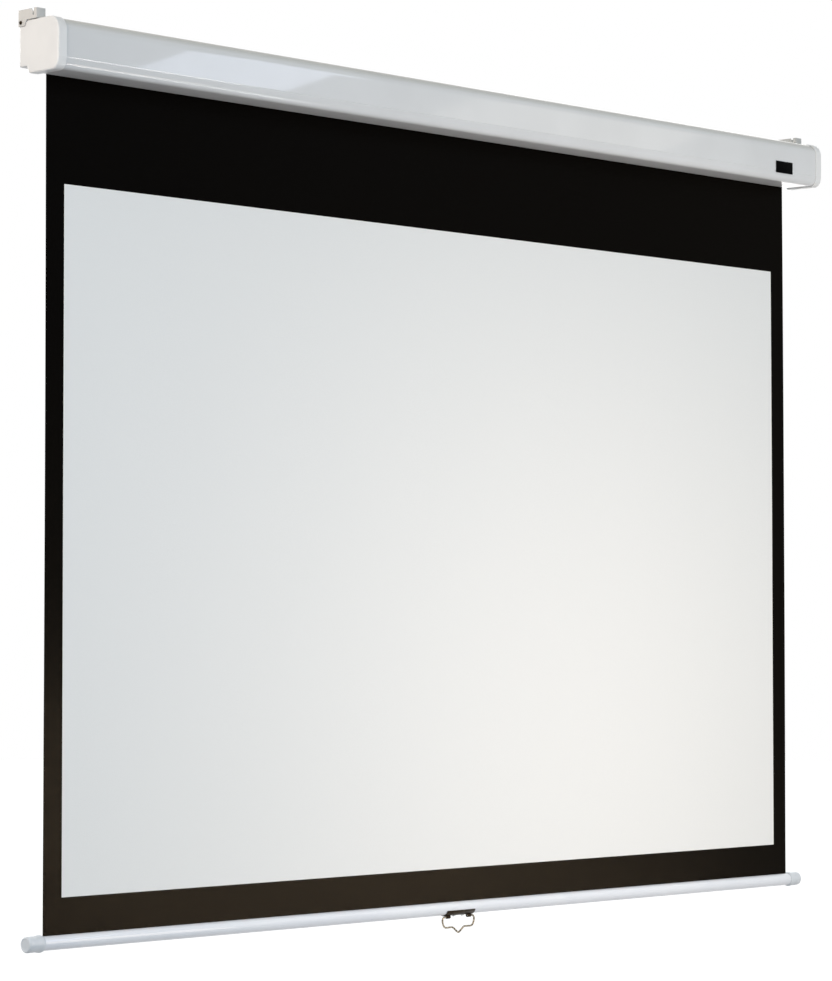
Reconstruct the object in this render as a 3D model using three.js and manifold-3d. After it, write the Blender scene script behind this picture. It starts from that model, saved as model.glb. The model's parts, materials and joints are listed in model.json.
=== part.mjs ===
// A wall-hung pull-down projection screen, drawn fully down.
// Millimetres. +X runs along the case, -Y points from the wall into the room and +Z is up.
// The origin is on the wall, at the middle of the case's back face.
import * as THREE from "three";
import { mergeVertices } from "three/addons/utils/BufferGeometryUtils.js";
import Module from "manifold-3d";

const wasm = await Module();
wasm.setup();

// Clearances and overruns
const GAP = 0.3; // between pieces that touch on the real object
const OVERRUN = 2; // how far a cutting solid runs past what it cuts
const MERGE = 1e-3; // vertices nearer than this are one
const LEAST_RADIUS = 0.3; // of a corner that was round before its edges moved

// Screen cloth
const VIEW_WIDTH = 1810; // 84 inch diagonal at 16:10
const VIEW_HEIGHT = 1131;
const SIDE_BORDER = 38;
const BOTTOM_BORDER = 58.5;
const VIEW_TOP_DROP = 217; // from the origin down to the viewing area's top edge
const CLOTH_THICKNESS = 0.4;
const COAT_THICKNESS = 0.2;
const CLOTH_TO_WALL = 24;

// Case profile
const CASE_DEPTH = 95;
const CASE_TOP = 35.4;
const CASE_FOOT = 35; // below the origin, as the next two
const CASE_CREASE = 28;
const CASE_LOW = 46.8;
const CASE_RISE = 0.3; // the underside rises this much from its front to its rear lip
const CASE_TUCK = 3.8; // the lower front leans back this much
const CASE_SHEET = 1.2;
const CASE_TOP_RADIUS = 22;
const CASE_LOW_RADIUS = 13;
const CASE_REAR_RADIUS = 2.5;
const CASE_CREASE_RADIUS = 6;
const LIP_HEIGHT = 6;
const LIP_RADIUS = 1.5;
const SLOT_FRONT = 5; // from the cloth to the lip
const SLOT_REAR = 5; // from the cloth to the rear flange

// End caps
const CLOTH_TO_CAP_FACE = 35;
const CAP_WALL = 4;
const CAP_SKIRT = 13.5;
const CAP_SKIN = 1.5;
const CAP_EDGE_RADIUS = 3;
const CAP_STEP_RUN = 4.4;
const CAP_STEP_RADIUS = 3;
const CAP_STEP_SHORT = 0.6; // the step stops this far from the case's rear flange

// Hanging brackets
const BRACKET_WIDTH = 18;
const BRACKET_DEPTH = 45;
const BRACKET_HEIGHT = 16.5;
const BRACKET_SHEET = 1.6;
const EAR_DROP = 9.5; // below the cap's top
const EAR_LENGTH = 20;
const MOUTH_WIDTH = 8; // the Y notch, at the wall's top edge
const MOUTH_DEPTH = 7;
const MOUTH_LEAN = 2; // the mouth's middle lies this much behind the slot's
const SLOT_WIDTH = 2.4;
const SLOT_DEPTH = 12;
const SLOT_TO_FRONT = 8.5;
const KEYHOLE_RADIUS = 3.5;
const KEYHOLE_SLOT = 2;
const KEYHOLE_RISE = 5;
const KEYHOLE_LOW = 6.5; // above the bracket's floor

// Roller
const ROLLER_HEIGHT = 4; // its axis above the origin
const TUBE_RADIUS = 21.5;
const TUBE_WALL = 1.2;
const TUBE_OVERHANG = 10; // past the cloth's edge
const WRAP_TURNS = 1.5;
const WRAP_PITCH = 0.7;
const PLUG_LENGTH = 28;
const PLUG_FLANGE = 2.5;

// Bearing plates and the idler end
const PLATE_TO_FRONT = 16;
const PLATE_TO_WALL = 17;
const PLATE_HEIGHT = 56;
const PLATE_SHEET = 2;
const PLATE_RADIUS = 8;
const PLATE_SCREW_SPREAD = 21; // above and below the roller's axis
const IDLER_PIN_RADIUS = 4;
const BUSH_WALL = 2.7;
const BUSH_FLANGE = 2.5; // wider than the barrel, all round
const BUSH_FLANGE_SHEET = 1.5;
const HUB_WALL = 4;

// Spring end
const SPINDLE_RADIUS = 4.5;
const SPINDLE_REACH = 395; // from the plate into the tube
const TONGUE_WIDTH = 8;
const TONGUE_THICKNESS = 3.2;
const TONGUE_SHOULDER = 2.4; // the round rod stops this far inside the plate
const ANCHOR_LENGTH = 24;
const ANCHOR_WALL = 10;
const SPIGOT_LENGTH = 10;
const SPRING_WIRE = 2.4;
const SPRING_RADIUS = 12;
const SPRING_TURNS = 24;
const RATCHET_RADIUS = 9;
const RATCHET_LENGTH = 5;
const RATCHET_NOTCH_DEPTH = 2.8;
const RATCHET_STAND = 1.2; // from the plug's flange to the ratchet and the pawls
const PAWL_PIVOT_RADIUS = 15.5;
const PAWL_PIVOT_DEGREES = 35;
const PAWL_LIFT_DEGREES = 20;
const PAWL_SHEET = 4;
const PAWL_BOSS_RADIUS = 3.4;
const PAWL_NOSE_WIDTH = 2.6;
const PAWL_NOSE_FLARE = 0.4;
const PAWL_ARM = 2.5;
const PAWL_ARM_RISE = 0.9; // the arm's lower edge, above the ratchet
const PAWL_PIN_RADIUS = 1.5;
const PAWL_PIN_DEPTH = 14;
const PAWL_PIN_PROUD = 0.6; // past the pawl's face

// Screws and rivets
const PLATE_SCREW = { head: 3.5, headHeight: 2, shank: 1.9, length: 5.2 };
const SIDE_SCREW = { head: 3, headHeight: 1.4, shank: 1.4, length: 4.8 };
const FLOOR_SCREW = { head: 3.5, headHeight: 2, shank: 1.9, length: 7.2 };
const DRIVE_WIDTH = 0.8;
const DRIVE_DEPTH = 0.8;
const CROWN_SHARE = 0.8; // of a head's radius, at its top
const SIDE_SCREW_TURN_DEGREES = 60; // its slot's turn
const SIDE_SCREW_TO_WALL = 6;
const SIDE_SCREW_DROP = 3.4; // below the cap's top
const FLOOR_SCREW_TO_WALL = 23;
const FLOOR_SCREW_INSET = 9; // from the cap's outer face

// Front plate
const BADGE_WIDTH = 52;
const BADGE_HEIGHT = 23;
const BADGE_SHEET = 0.8;
const BADGE_INSET = 118.5; // from the cap's face to the plate's middle
const BADGE_DROP = 21;
const BADGE_RADIUS = 1;

// Weight bar
const BAR_RADIUS = 11.5;
const BAR_WALL = 1.2;
const BAR_SLOT = 3;
const BAR_END = 35; // from the cloth's edge to the bar cap's face
const BAR_CAP_LENGTH = 32;
const BAR_CAP_SKIN = 1;
const BAR_CAP_COLLAR = 1.2; // the collar's height over the sleeve
const BAR_CAP_FLARE = 3.6; // the sleeve flares out to its collar over this length
const BAR_CAP_COLLAR_LENGTH = 2.4;
const BAR_CAP_WAIST = 16; // from the cap's open end to its thinnest place
const BAR_CAP_WAIST_DEPTH = 0.5;
const BAR_CAP_WAIST_STEP = 1.2;
const BAR_CAP_FACE = 3;
const BAR_CAP_EDGE = 3;
const BAR_CAP_DISH = 0.8;
const ROD_RADIUS = 3.2;
const ROD_SHORT = 4; // the rod ends this far inside the hem

// Pull handle
const SADDLE_HALF_LENGTH = 35.5;
const SADDLE_SHEET = 1.2;
const SADDLE_SPREAD_DEGREES = 60; // to each side of its middle
const SADDLE_LEAN_DEGREES = 15; // from straight down towards the room
const WIRE_RADIUS = 1.7;
const BAIL_HALF_WIDTH = 41;
const BAIL_DROP = 28.3;
const KNUCKLE_MIDDLE = 26.5; // from the handle's middle
const KNUCKLE_LENGTH = 8;
const KNUCKLE_WALL = 1.2;
const BAIL_END_SHORT = 1; // the wire stops this far inside the knuckle
const RIVET_SPREAD = 11;
const RIVET = { head: 3, headHeight: 1.4, shank: 1.6, length: 5 };

// The bail's centreline from a knuckle to the middle of the V, as shares of its half width and its drop
const bailShares = [
  [0.62, 0],
  [0.82, 0],
  [0.9, 0.015],
  [0.965, 0.1],
  [0.985, 0.25],
  [0.94, 0.48],
  [0.86, 0.62],
  [0.76, 0.66],
  [0.52, 0.655],
  [0.36, 0.67],
  [0.26, 0.75],
  [0.1, 0.93],
  [0, 1],
];

// Facet counts
const ROUND = 36;
const ROUND_SMALL = 16;
const FILLET_STEPS = 6;
const EDGE_STEPS = 4;
const WRAP_STEPS = 24; // per turn
const SPRING_STEPS = 8; // per turn
const SPRING_SIDES = 5;
const WIRE_SIDES = 10;
const WIRE_STEPS = 76;
const SADDLE_STEPS = 14;

// Places worked out from the sizes
const degrees = THREE.MathUtils.degToRad;
const clothHalf = VIEW_WIDTH / 2 + SIDE_BORDER;
const clothY = -CLOTH_TO_WALL;
const clothFrontY = clothY - CLOTH_THICKNESS / 2;
const coatFrontY = clothFrontY - COAT_THICKNESS;
const clothBackY = clothY + CLOTH_THICKNESS / 2;
const viewTopZ = -VIEW_TOP_DROP;
const viewLowZ = viewTopZ - VIEW_HEIGHT;
const barTopZ = viewLowZ - BOTTOM_BORDER;
const barZ = barTopZ - BAR_RADIUS;
const capFaceX = clothHalf + CLOTH_TO_CAP_FACE;
const capWallX = capFaceX - CAP_WALL;
const skirtX = capWallX - CAP_SKIRT;
const capOffset = GAP + CAP_SKIN;
const capTopZ = CASE_TOP + capOffset;
const lipY = clothY - SLOT_FRONT;
const flangeY = clothY + SLOT_REAR;
const wrapRadius = TUBE_RADIUS + GAP + WRAP_TURNS * WRAP_PITCH + CLOTH_THICKNESS;
const rollerY = coatFrontY - GAP - wrapRadius;
const rollerZ = ROLLER_HEIGHT;
const tubeEndX = clothHalf + TUBE_OVERHANG;
const tubeBore = TUBE_RADIUS - TUBE_WALL;
const plateInnerX = capWallX - GAP - PLATE_SHEET;
const plateOuterX = capWallX - GAP;
const plugFaceX = tubeEndX + GAP + PLUG_FLANGE;
const ratchetX = plugFaceX + RATCHET_STAND;

// Solids: every geometry here holds positions only, with its faces pointing out
function signedVolume(geometry) {
  const place = geometry.getAttribute("position");
  const corner = geometry.index.array;
  const [a, b, c] = [new THREE.Vector3(), new THREE.Vector3(), new THREE.Vector3()];
  let sum = 0;
  for (let i = 0; i < corner.length; i += 3) {
    a.fromBufferAttribute(place, corner[i]);
    b.fromBufferAttribute(place, corner[i + 1]);
    c.fromBufferAttribute(place, corner[i + 2]);
    sum += a.dot(b.cross(c));
  }
  return sum;
}

function closed(geometry) {
  const bare = new THREE.BufferGeometry();
  bare.setAttribute("position", geometry.getAttribute("position").clone());
  if (geometry.index) bare.setIndex(geometry.index.clone());
  const merged = mergeVertices(bare, MERGE);
  const faces = [];
  for (let i = 0; i < merged.index.count; i += 3) {
    const [a, b, c] = merged.index.array.slice(i, i + 3);
    if (a !== b && b !== c && c !== a) faces.push(a, b, c);
  }
  merged.setIndex(faces);
  if (signedVolume(merged) < 0) merged.setIndex(faces.reverse());
  return merged;
}

function toSolid(geometry) {
  const merged = closed(geometry);
  return new wasm.Manifold(
    new wasm.Mesh({
      numProp: 3,
      vertProperties: merged.getAttribute("position").array,
      triVerts: new Uint32Array(merged.index.array),
    }),
  );
}

function toGeometry(solid) {
  const made = solid.getMesh();
  const geometry = new THREE.BufferGeometry();
  geometry.setAttribute("position", new THREE.BufferAttribute(made.vertProperties, 3));
  geometry.setIndex(new THREE.BufferAttribute(made.triVerts, 1));
  return geometry;
}

function join(...geometries) {
  return toGeometry(geometries.map(toSolid).reduce((all, one) => all.add(one)));
}

function cut(geometry, ...tools) {
  return toGeometry(tools.map(toSolid).reduce((left, tool) => left.subtract(tool), toSolid(geometry)));
}

function mirrored(geometry) {
  return closed(geometry.clone().applyMatrix4(new THREE.Matrix4().makeScale(-1, 1, 1)));
}

function onSide(geometry, side) {
  return side < 0 ? mirrored(geometry) : geometry;
}

function box(x0, x1, y0, y1, z0, z1) {
  const made = new THREE.BoxGeometry(x1 - x0, y1 - y0, z1 - z0);
  return made.translate((x0 + x1) / 2, (y0 + y1) / 2, (z0 + z1) / 2);
}

// A section drawn in Y and Z, drawn out along X
function alongX(points, x0, x1) {
  const shape = new THREE.Shape(points.map(([y, z]) => new THREE.Vector2(y, z)));
  const made = new THREE.ExtrudeGeometry(shape, { depth: x1 - x0, bevelEnabled: false });
  const turn = new THREE.Matrix4().set(0, 0, 1, x0, 1, 0, 0, 0, 0, 1, 0, 0, 0, 0, 0, 1);
  return closed(made.applyMatrix4(turn));
}

// A section drawn in X and Z, drawn out along Y
function alongY(points, y0, y1) {
  const shape = new THREE.Shape(points.map(([x, z]) => new THREE.Vector2(x, z)));
  const made = new THREE.ExtrudeGeometry(shape, { depth: y1 - y0, bevelEnabled: false });
  const turn = new THREE.Matrix4().set(1, 0, 0, 0, 0, 0, 1, y0, 0, 1, 0, 0, 0, 0, 0, 1);
  return closed(made.applyMatrix4(turn));
}

function circle(radius, middleA = 0, middleB = 0, steps = ROUND) {
  return Array.from({ length: steps }, (_, i) => {
    const turn = (2 * Math.PI * i) / steps;
    return [middleA + radius * Math.cos(turn), middleB + radius * Math.sin(turn)];
  });
}

// A turned piece: its profile is a list of [place along the axis, radius], from the axis and back to it
function turned(profile, steps = ROUND) {
  return new THREE.LatheGeometry(
    profile.map(([along, radius]) => new THREE.Vector2(radius, along)),
    steps,
  );
}

function turnedX(profile, y, z, steps = ROUND) {
  const turn = new THREE.Matrix4().set(0, 1, 0, 0, 0, 0, 1, y, 1, 0, 0, z, 0, 0, 0, 1);
  return closed(turned(profile, steps).applyMatrix4(turn));
}

function rodX(x0, x1, radius, y, z, steps = ROUND) {
  return turnedX([[x0, 0], [x0, radius], [x1, radius], [x1, 0]], y, z, steps);
}

function rodZ(z0, z1, radius, x, y, steps = ROUND_SMALL) {
  return turned([[z0, 0], [z0, radius], [z1, radius], [z1, 0]], steps)
    .applyMatrix4(new THREE.Matrix4().set(1, 0, 0, x, 0, 0, -1, y, 0, 1, 0, 0, 0, 0, 0, 1));
}

function rodY(y0, y1, radius, x, z, steps = ROUND_SMALL) {
  return turned([[y0, 0], [y0, radius], [y1, radius], [y1, 0]], steps).translate(x, 0, z);
}

// Outlines are lists of corners { y, z, r }, counter-clockwise, with r the corner's radius
function moved(corner, next, by) {
  const length = Math.hypot(next.y - corner.y, next.z - corner.z);
  const out = { y: (next.z - corner.z) / length, z: (corner.y - next.y) / length };
  return {
    from: { y: corner.y + out.y * by, z: corner.z + out.z * by },
    way: { y: -out.z, z: out.y },
  };
}

function crossing(first, second) {
  const side = first.way.y * second.way.z - first.way.z * second.way.y;
  const y = second.from.y - first.from.y;
  const z = second.from.z - first.from.z;
  const along = (y * second.way.z - z * second.way.y) / side;
  return { y: first.from.y + first.way.y * along, z: first.from.z + first.way.z * along, side };
}

// The outline with each edge moved out by its own distance; edge i runs from corner i to the next
function outset(corners, distances) {
  const count = corners.length;
  const edges = corners.map((corner, i) => moved(corner, corners[(i + 1) % count], distances[i]));
  return corners.map((corner, i) => {
    const place = crossing(edges[(i + count - 1) % count], edges[i]);
    const by = Math.min(distances[i], distances[(i + count - 1) % count]);
    const radius = corner.r + (place.side > 0 ? by : -by);
    return { y: place.y, z: place.z, r: Math.max(radius, LEAST_RADIUS) };
  });
}

function filleted(before, corner, after, steps) {
  if (!corner.r) return [[corner.y, corner.z]];
  const back = new THREE.Vector2(before.y - corner.y, before.z - corner.z).normalize();
  const ahead = new THREE.Vector2(after.y - corner.y, after.z - corner.z).normalize();
  const half = Math.acos(THREE.MathUtils.clamp(back.dot(ahead), -1, 1)) / 2;
  const reach = corner.r / Math.sin(half);
  const middle = back.clone().add(ahead).normalize().multiplyScalar(reach);
  const centre = new THREE.Vector2(corner.y + middle.x, corner.z + middle.y);
  const start = new THREE.Vector2(corner.y, corner.z);
  start.addScaledVector(back, corner.r / Math.tan(half)).sub(centre);
  const side = Math.sign(back.y * ahead.x - back.x * ahead.y);
  const sweep = side * (Math.PI - 2 * half);
  return Array.from({ length: steps + 1 }, (_, i) => {
    const spoke = start.clone().rotateAround(new THREE.Vector2(), (sweep * i) / steps);
    return [centre.x + spoke.x, centre.y + spoke.y];
  });
}

function outline(corners, steps = FILLET_STEPS) {
  const count = corners.length;
  return corners.flatMap((corner, i) =>
    filleted(corners[(i + count - 1) % count], corner, corners[(i + 1) % count], steps),
  );
}

// A bent sheet's section: the open path on its outer face, and the same path one sheet further in
function bentSheet(path, sheet, steps = FILLET_STEPS) {
  const inner = path.map((corner, i) => {
    const last = path.length - 1;
    const ahead = moved(path[Math.min(i, last - 1)], path[Math.min(i + 1, last)], -sheet);
    if (i === 0) return { ...ahead.from, r: 0 };
    if (i === last) {
      const before = path[i - 1];
      return { y: ahead.from.y + corner.y - before.y, z: ahead.from.z + corner.z - before.z, r: 0 };
    }
    const place = crossing(moved(path[i - 1], corner, -sheet), ahead);
    return { y: place.y, z: place.z, r: Math.max(corner.r - sheet, 0) };
  });
  const side = (line) =>
    line.flatMap((corner, i) =>
      i === 0 || i === line.length - 1
        ? [[corner.y, corner.z]]
        : filleted(line[i - 1], corner, line[i + 1], steps),
    );
  return [...side(path), ...side(inner).reverse()];
}

function roundedPlate(a0, a1, b0, b1, radius) {
  const corners = [
    { y: a0, z: b0, r: radius },
    { y: a1, z: b0, r: radius },
    { y: a1, z: b1, r: radius },
    { y: a0, z: b1, r: radius },
  ];
  return outline(corners, EDGE_STEPS);
}

// A solid through sections of equal point counts, each at its own X
function loft(sections) {
  const count = sections[0].points.length;
  const places = sections.flatMap(({ x, points }) => points.flatMap(([y, z]) => [x, y, z]));
  const faces = [];
  for (let s = 0; s + 1 < sections.length; s += 1) {
    for (let i = 0; i < count; i += 1) {
      const a = s * count + i;
      const b = s * count + ((i + 1) % count);
      faces.push(a, b, b + count, a, b + count, a + count);
    }
  }
  const flat = ({ points }) => {
    const contour = points.map(([y, z]) => new THREE.Vector2(y, z));
    return THREE.ShapeUtils.triangulateShape(contour, []);
  };
  const end = (sections.length - 1) * count;
  flat(sections[0]).forEach(([a, b, c]) => faces.push(a, c, b));
  flat(sections.at(-1)).forEach(([a, b, c]) => faces.push(end + a, end + b, end + c));
  const geometry = new THREE.BufferGeometry();
  geometry.setAttribute("position", new THREE.Float32BufferAttribute(places, 3));
  geometry.setIndex(faces);
  return closed(geometry);
}

// A screw or rivet along +X: its head's seat is at X = 0 and its shank runs to +X
function fastener({ head, headHeight, shank, length }, slotted) {
  const profile = [
    [-headHeight, 0],
    [-headHeight, head * CROWN_SHARE],
    [-headHeight / 2, head],
    [0, head],
    [0, shank],
    [length, shank],
    [length, 0],
  ];
  const body = turnedX(profile, 0, 0, ROUND_SMALL);
  if (!slotted) return body;
  const reach = head + OVERRUN;
  const half = DRIVE_WIDTH / 2;
  return cut(body, box(-headHeight - OVERRUN, DRIVE_DEPTH - headHeight, -reach, reach, -half, half));
}

// Materials
function finish(color, roughness, metalness) {
  return new THREE.MeshStandardMaterial({ color, roughness, metalness });
}

const paintedSteel = finish(0xd4d7da, 0.3, 0.2);
const capPlastic = finish(0xeae6e0, 0.45, 0);
const bracketPaint = finish(0xd9d8d5, 0.4, 0.2);
const clothBlack = finish(0x0c0c0b, 0.85, 0);
const coatWhite = finish(0xe4e5e3, 0.9, 0);
const barPaint = finish(0xe3e5ea, 0.3, 0.1);
const zincSteel = finish(0x9c9fa3, 0.4, 0.9);
const springSteel = finish(0x6f7378, 0.35, 0.9);
const darkSteel = finish(0x3a2f24, 0.45, 0.8);
const nickelWire = finish(0xb9ad98, 0.25, 0.95);
const nylon = finish(0xe9e6dc, 0.5, 0);
const blackPlate = finish(0x111111, 0.35, 0);
const aluminium = finish(0xb6b9bc, 0.4, 0.9);

const screen = new THREE.Group();

function piece(name, geometry, material, group = screen) {
  const made = new THREE.Mesh(closed(geometry), material);
  made.name = name;
  group.add(made);
  return made;
}

const sides = [
  ["left", -1],
  ["right", 1],
];

// Case housing
function caseCorners() {
  const frontY = -CASE_DEPTH;
  const risePerDepth = CASE_RISE / (CASE_DEPTH - CASE_TUCK + lipY);
  const stepTopY = flangeY - CAP_STEP_SHORT;
  const floorEndY = stepTopY - CAP_STEP_RUN;
  const lowFront = { y: frontY + CASE_TUCK, z: -CASE_LOW, r: CASE_LOW_RADIUS };
  return {
    rearFoot: { y: 0, z: -CASE_FOOT, r: CASE_REAR_RADIUS },
    rearTop: { y: 0, z: CASE_TOP, r: CASE_REAR_RADIUS },
    frontTop: { y: frontY, z: CASE_TOP, r: CASE_TOP_RADIUS },
    crease: { y: frontY, z: -CASE_CREASE, r: CASE_CREASE_RADIUS },
    lowFront,
    lip: { y: lipY, z: -CASE_LOW + CASE_RISE, r: LIP_RADIUS },
    floorEnd: { y: floorEndY, z: -CASE_LOW + risePerDepth * (floorEndY - lowFront.y), r: CAP_STEP_RADIUS },
    stepTop: { y: stepTopY, z: -CASE_FOOT, r: CAP_STEP_RADIUS },
  };
}

const corners = caseCorners();

function caseHousing() {
  const path = [
    { y: flangeY, z: -CASE_FOOT, r: 0 },
    corners.rearFoot,
    corners.rearTop,
    corners.frontTop,
    corners.crease,
    corners.lowFront,
    corners.lip,
    { y: lipY, z: corners.lip.z + LIP_HEIGHT, r: 0 },
  ];
  const end = capWallX - GAP;
  const holes = sides.map(([, side]) =>
    rodZ(
      CASE_TOP - CASE_SHEET - OVERRUN,
      CASE_TOP + OVERRUN,
      FLOOR_SCREW.shank + GAP,
      side * (capFaceX - FLOOR_SCREW_INSET),
      -FLOOR_SCREW_TO_WALL,
    ),
  );
  return cut(alongX(bentSheet(path, CASE_SHEET), -end, end), ...holes);
}

piece("case_housing", caseHousing(), paintedSteel);

// End caps: the right one is made, and the left is its mirror image
function capOutline(distance, rear) {
  const closedCorners = [
    corners.rearFoot,
    corners.rearTop,
    corners.frontTop,
    corners.crease,
    corners.lowFront,
    corners.floorEnd,
    corners.stepTop,
  ];
  const distances = closedCorners.map((_, i) => (i === 0 ? rear : distance));
  return outline(outset(closedCorners, distances));
}

function plateScrewPlaces() {
  return [-1, 1].map((way) => ({ y: rollerY, z: rollerZ + way * PLATE_SCREW_SPREAD }));
}

function endCap() {
  const rim = Array.from({ length: EDGE_STEPS + 1 }, (_, i) => {
    const turn = (Math.PI / 2) * (i / EDGE_STEPS);
    const inset = CAP_EDGE_RADIUS * (1 - Math.cos(turn));
    const x = capFaceX - CAP_EDGE_RADIUS * (1 - Math.sin(turn));
    return { x, points: capOutline(capOffset - inset, -inset) };
  });
  const shell = loft([{ x: skirtX, points: capOutline(capOffset, 0) }, ...rim]);
  const pocket = alongX(capOutline(GAP, OVERRUN), skirtX - OVERRUN, capWallX);
  const holeEndX = plateInnerX + PLATE_SCREW.length + GAP;
  const plateHoles = plateScrewPlaces().map(({ y, z }) =>
    rodX(capWallX - OVERRUN, holeEndX, PLATE_SCREW.shank + GAP, y, z, ROUND_SMALL),
  );
  const sideHole = rodX(
    capFaceX + GAP + BRACKET_SHEET - SIDE_SCREW.length - GAP,
    capFaceX + OVERRUN,
    SIDE_SCREW.shank + GAP,
    -SIDE_SCREW_TO_WALL,
    capTopZ - SIDE_SCREW_DROP,
    ROUND_SMALL,
  );
  const floorHole = rodZ(
    CASE_TOP - OVERRUN,
    capTopZ + OVERRUN,
    FLOOR_SCREW.shank + GAP,
    capFaceX - FLOOR_SCREW_INSET,
    -FLOOR_SCREW_TO_WALL,
  );
  return cut(shell, pocket, ...plateHoles, sideHole, floorHole);
}

// Hanging brackets: a folded tray on the cap's top, with an ear down its outer side
function bracketNotch(x0, x1) {
  const topZ = capTopZ + GAP + BRACKET_HEIGHT;
  const slotY = -BRACKET_DEPTH + SLOT_TO_FRONT;
  const mouthY = slotY + MOUTH_LEAN;
  const half = SLOT_WIDTH / 2;
  const lowZ = topZ - SLOT_DEPTH + half;
  const bottom = Array.from({ length: FILLET_STEPS + 1 }, (_, i) => {
    const turn = (Math.PI * i) / FILLET_STEPS;
    return [slotY + half * Math.cos(turn), lowZ - half * Math.sin(turn)];
  });
  const mouth = [
    [slotY - half, topZ - MOUTH_DEPTH],
    [mouthY - MOUTH_WIDTH / 2, topZ + OVERRUN],
    [mouthY + MOUTH_WIDTH / 2, topZ + OVERRUN],
    [slotY + half, topZ - MOUTH_DEPTH],
  ];
  return alongX([...bottom, ...mouth], x0, x1);
}

function hangingBracket() {
  const floorZ = capTopZ + GAP;
  const topZ = floorZ + BRACKET_HEIGHT;
  const outerX = capFaceX + GAP + BRACKET_SHEET;
  const innerX = outerX - BRACKET_WIDTH;
  const frontY = -BRACKET_DEPTH;
  const block = box(innerX, outerX, frontY, 0, floorZ, topZ);
  const hollow = box(
    innerX + BRACKET_SHEET,
    outerX - BRACKET_SHEET,
    frontY + BRACKET_SHEET,
    -BRACKET_SHEET,
    floorZ + BRACKET_SHEET,
    topZ + OVERRUN,
  );
  const ear = alongX(
    [
      [-EAR_LENGTH, floorZ + BRACKET_SHEET],
      [-EAR_LENGTH, capTopZ],
      [-EAR_LENGTH + EAR_DROP / 2, capTopZ - EAR_DROP],
      [0, capTopZ - EAR_DROP],
      [0, floorZ + BRACKET_SHEET],
    ],
    outerX - BRACKET_SHEET,
    outerX,
  );
  const middleX = (innerX + outerX) / 2;
  const keyZ = floorZ + KEYHOLE_LOW;
  const [slotX0, slotX1] = [middleX - KEYHOLE_SLOT, middleX + KEYHOLE_SLOT];
  const keyhole = join(
    rodY(-BRACKET_SHEET - OVERRUN, OVERRUN, KEYHOLE_RADIUS, middleX, keyZ),
    box(slotX0, slotX1, -BRACKET_SHEET - OVERRUN, OVERRUN, keyZ, keyZ + KEYHOLE_RISE),
  );
  const sideHole = rodX(
    outerX - BRACKET_SHEET - OVERRUN,
    outerX + OVERRUN,
    SIDE_SCREW.shank + GAP,
    -SIDE_SCREW_TO_WALL,
    capTopZ - SIDE_SCREW_DROP,
    ROUND_SMALL,
  );
  const floorHole = rodZ(
    floorZ - OVERRUN,
    floorZ + BRACKET_SHEET + OVERRUN,
    FLOOR_SCREW.shank + GAP,
    capFaceX - FLOOR_SCREW_INSET,
    -FLOOR_SCREW_TO_WALL,
  );
  const notch = bracketNotch(innerX - OVERRUN, outerX + OVERRUN);
  return cut(join(cut(block, hollow), ear), keyhole, sideHole, floorHole, notch);
}

function sideScrew() {
  return fastener(SIDE_SCREW, true)
    .rotateY(Math.PI)
    .rotateX(degrees(SIDE_SCREW_TURN_DEGREES))
    .translate(capFaceX + GAP + BRACKET_SHEET + GAP, -SIDE_SCREW_TO_WALL, capTopZ - SIDE_SCREW_DROP);
}

function floorScrew() {
  return fastener(FLOOR_SCREW, true)
    .rotateY(Math.PI / 2)
    .translate(capFaceX - FLOOR_SCREW_INSET, -FLOOR_SCREW_TO_WALL, capTopZ + GAP + BRACKET_SHEET + GAP);
}

// Bearing plates, each held to its cap's wall by two screws
function bearingPlate(hole) {
  const section = roundedPlate(
    -CASE_DEPTH + PLATE_TO_FRONT,
    -PLATE_TO_WALL,
    rollerZ - PLATE_HEIGHT / 2,
    rollerZ + PLATE_HEIGHT / 2,
    PLATE_RADIUS,
  );
  const screwHoles = plateScrewPlaces().map(({ y, z }) =>
    rodX(plateInnerX - OVERRUN, plateOuterX + OVERRUN, PLATE_SCREW.shank + GAP, y, z, ROUND_SMALL),
  );
  return cut(alongX(section, plateInnerX, plateOuterX), hole, ...screwHoles);
}

for (const [word, side] of sides) {
  piece("end_cap_" + word, onSide(endCap(), side), capPlastic);
  piece("hanging_bracket_" + word, onSide(hangingBracket(), side), bracketPaint);
  piece("bracket_side_screw_" + word, onSide(sideScrew(), side), darkSteel);
  piece("bracket_floor_screw_" + word, onSide(floorScrew(), side), zincSteel);
  plateScrewPlaces().forEach(({ y, z }, i) => {
    const screw = fastener(PLATE_SCREW, true).translate(plateInnerX - GAP, y, z);
    piece("bearing_screw_" + word + "_" + (i ? "upper" : "lower"), onSide(screw, side), zincSteel);
  });
}

// Idler end, on the left: made on the right and mirrored
const bushBarrel = IDLER_PIN_RADIUS + GAP + BUSH_WALL;
const bushFlangeX = plateInnerX - GAP - BUSH_FLANGE_SHEET;

function leftPiece(name, geometry, material, group) {
  return piece(name, mirrored(geometry), material, group);
}

leftPiece(
  "bearing_plate_left",
  bearingPlate(rodX(plateInnerX - OVERRUN, plateOuterX + OVERRUN, bushBarrel + GAP, rollerY, rollerZ)),
  zincSteel,
);

leftPiece(
  "idler_bush",
  turnedX(
    [
      [bushFlangeX, IDLER_PIN_RADIUS + GAP],
      [bushFlangeX, bushBarrel + BUSH_FLANGE],
      [plateInnerX - GAP, bushBarrel + BUSH_FLANGE],
      [plateInnerX - GAP, bushBarrel],
      [plateOuterX, bushBarrel],
      [plateOuterX, IDLER_PIN_RADIUS + GAP],
      [bushFlangeX, IDLER_PIN_RADIUS + GAP],
    ],
    rollerY,
    rollerZ,
  ),
  nylon,
);

// Roller: everything in this group turns together
const roller = new THREE.Group();
screen.add(roller);

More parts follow.
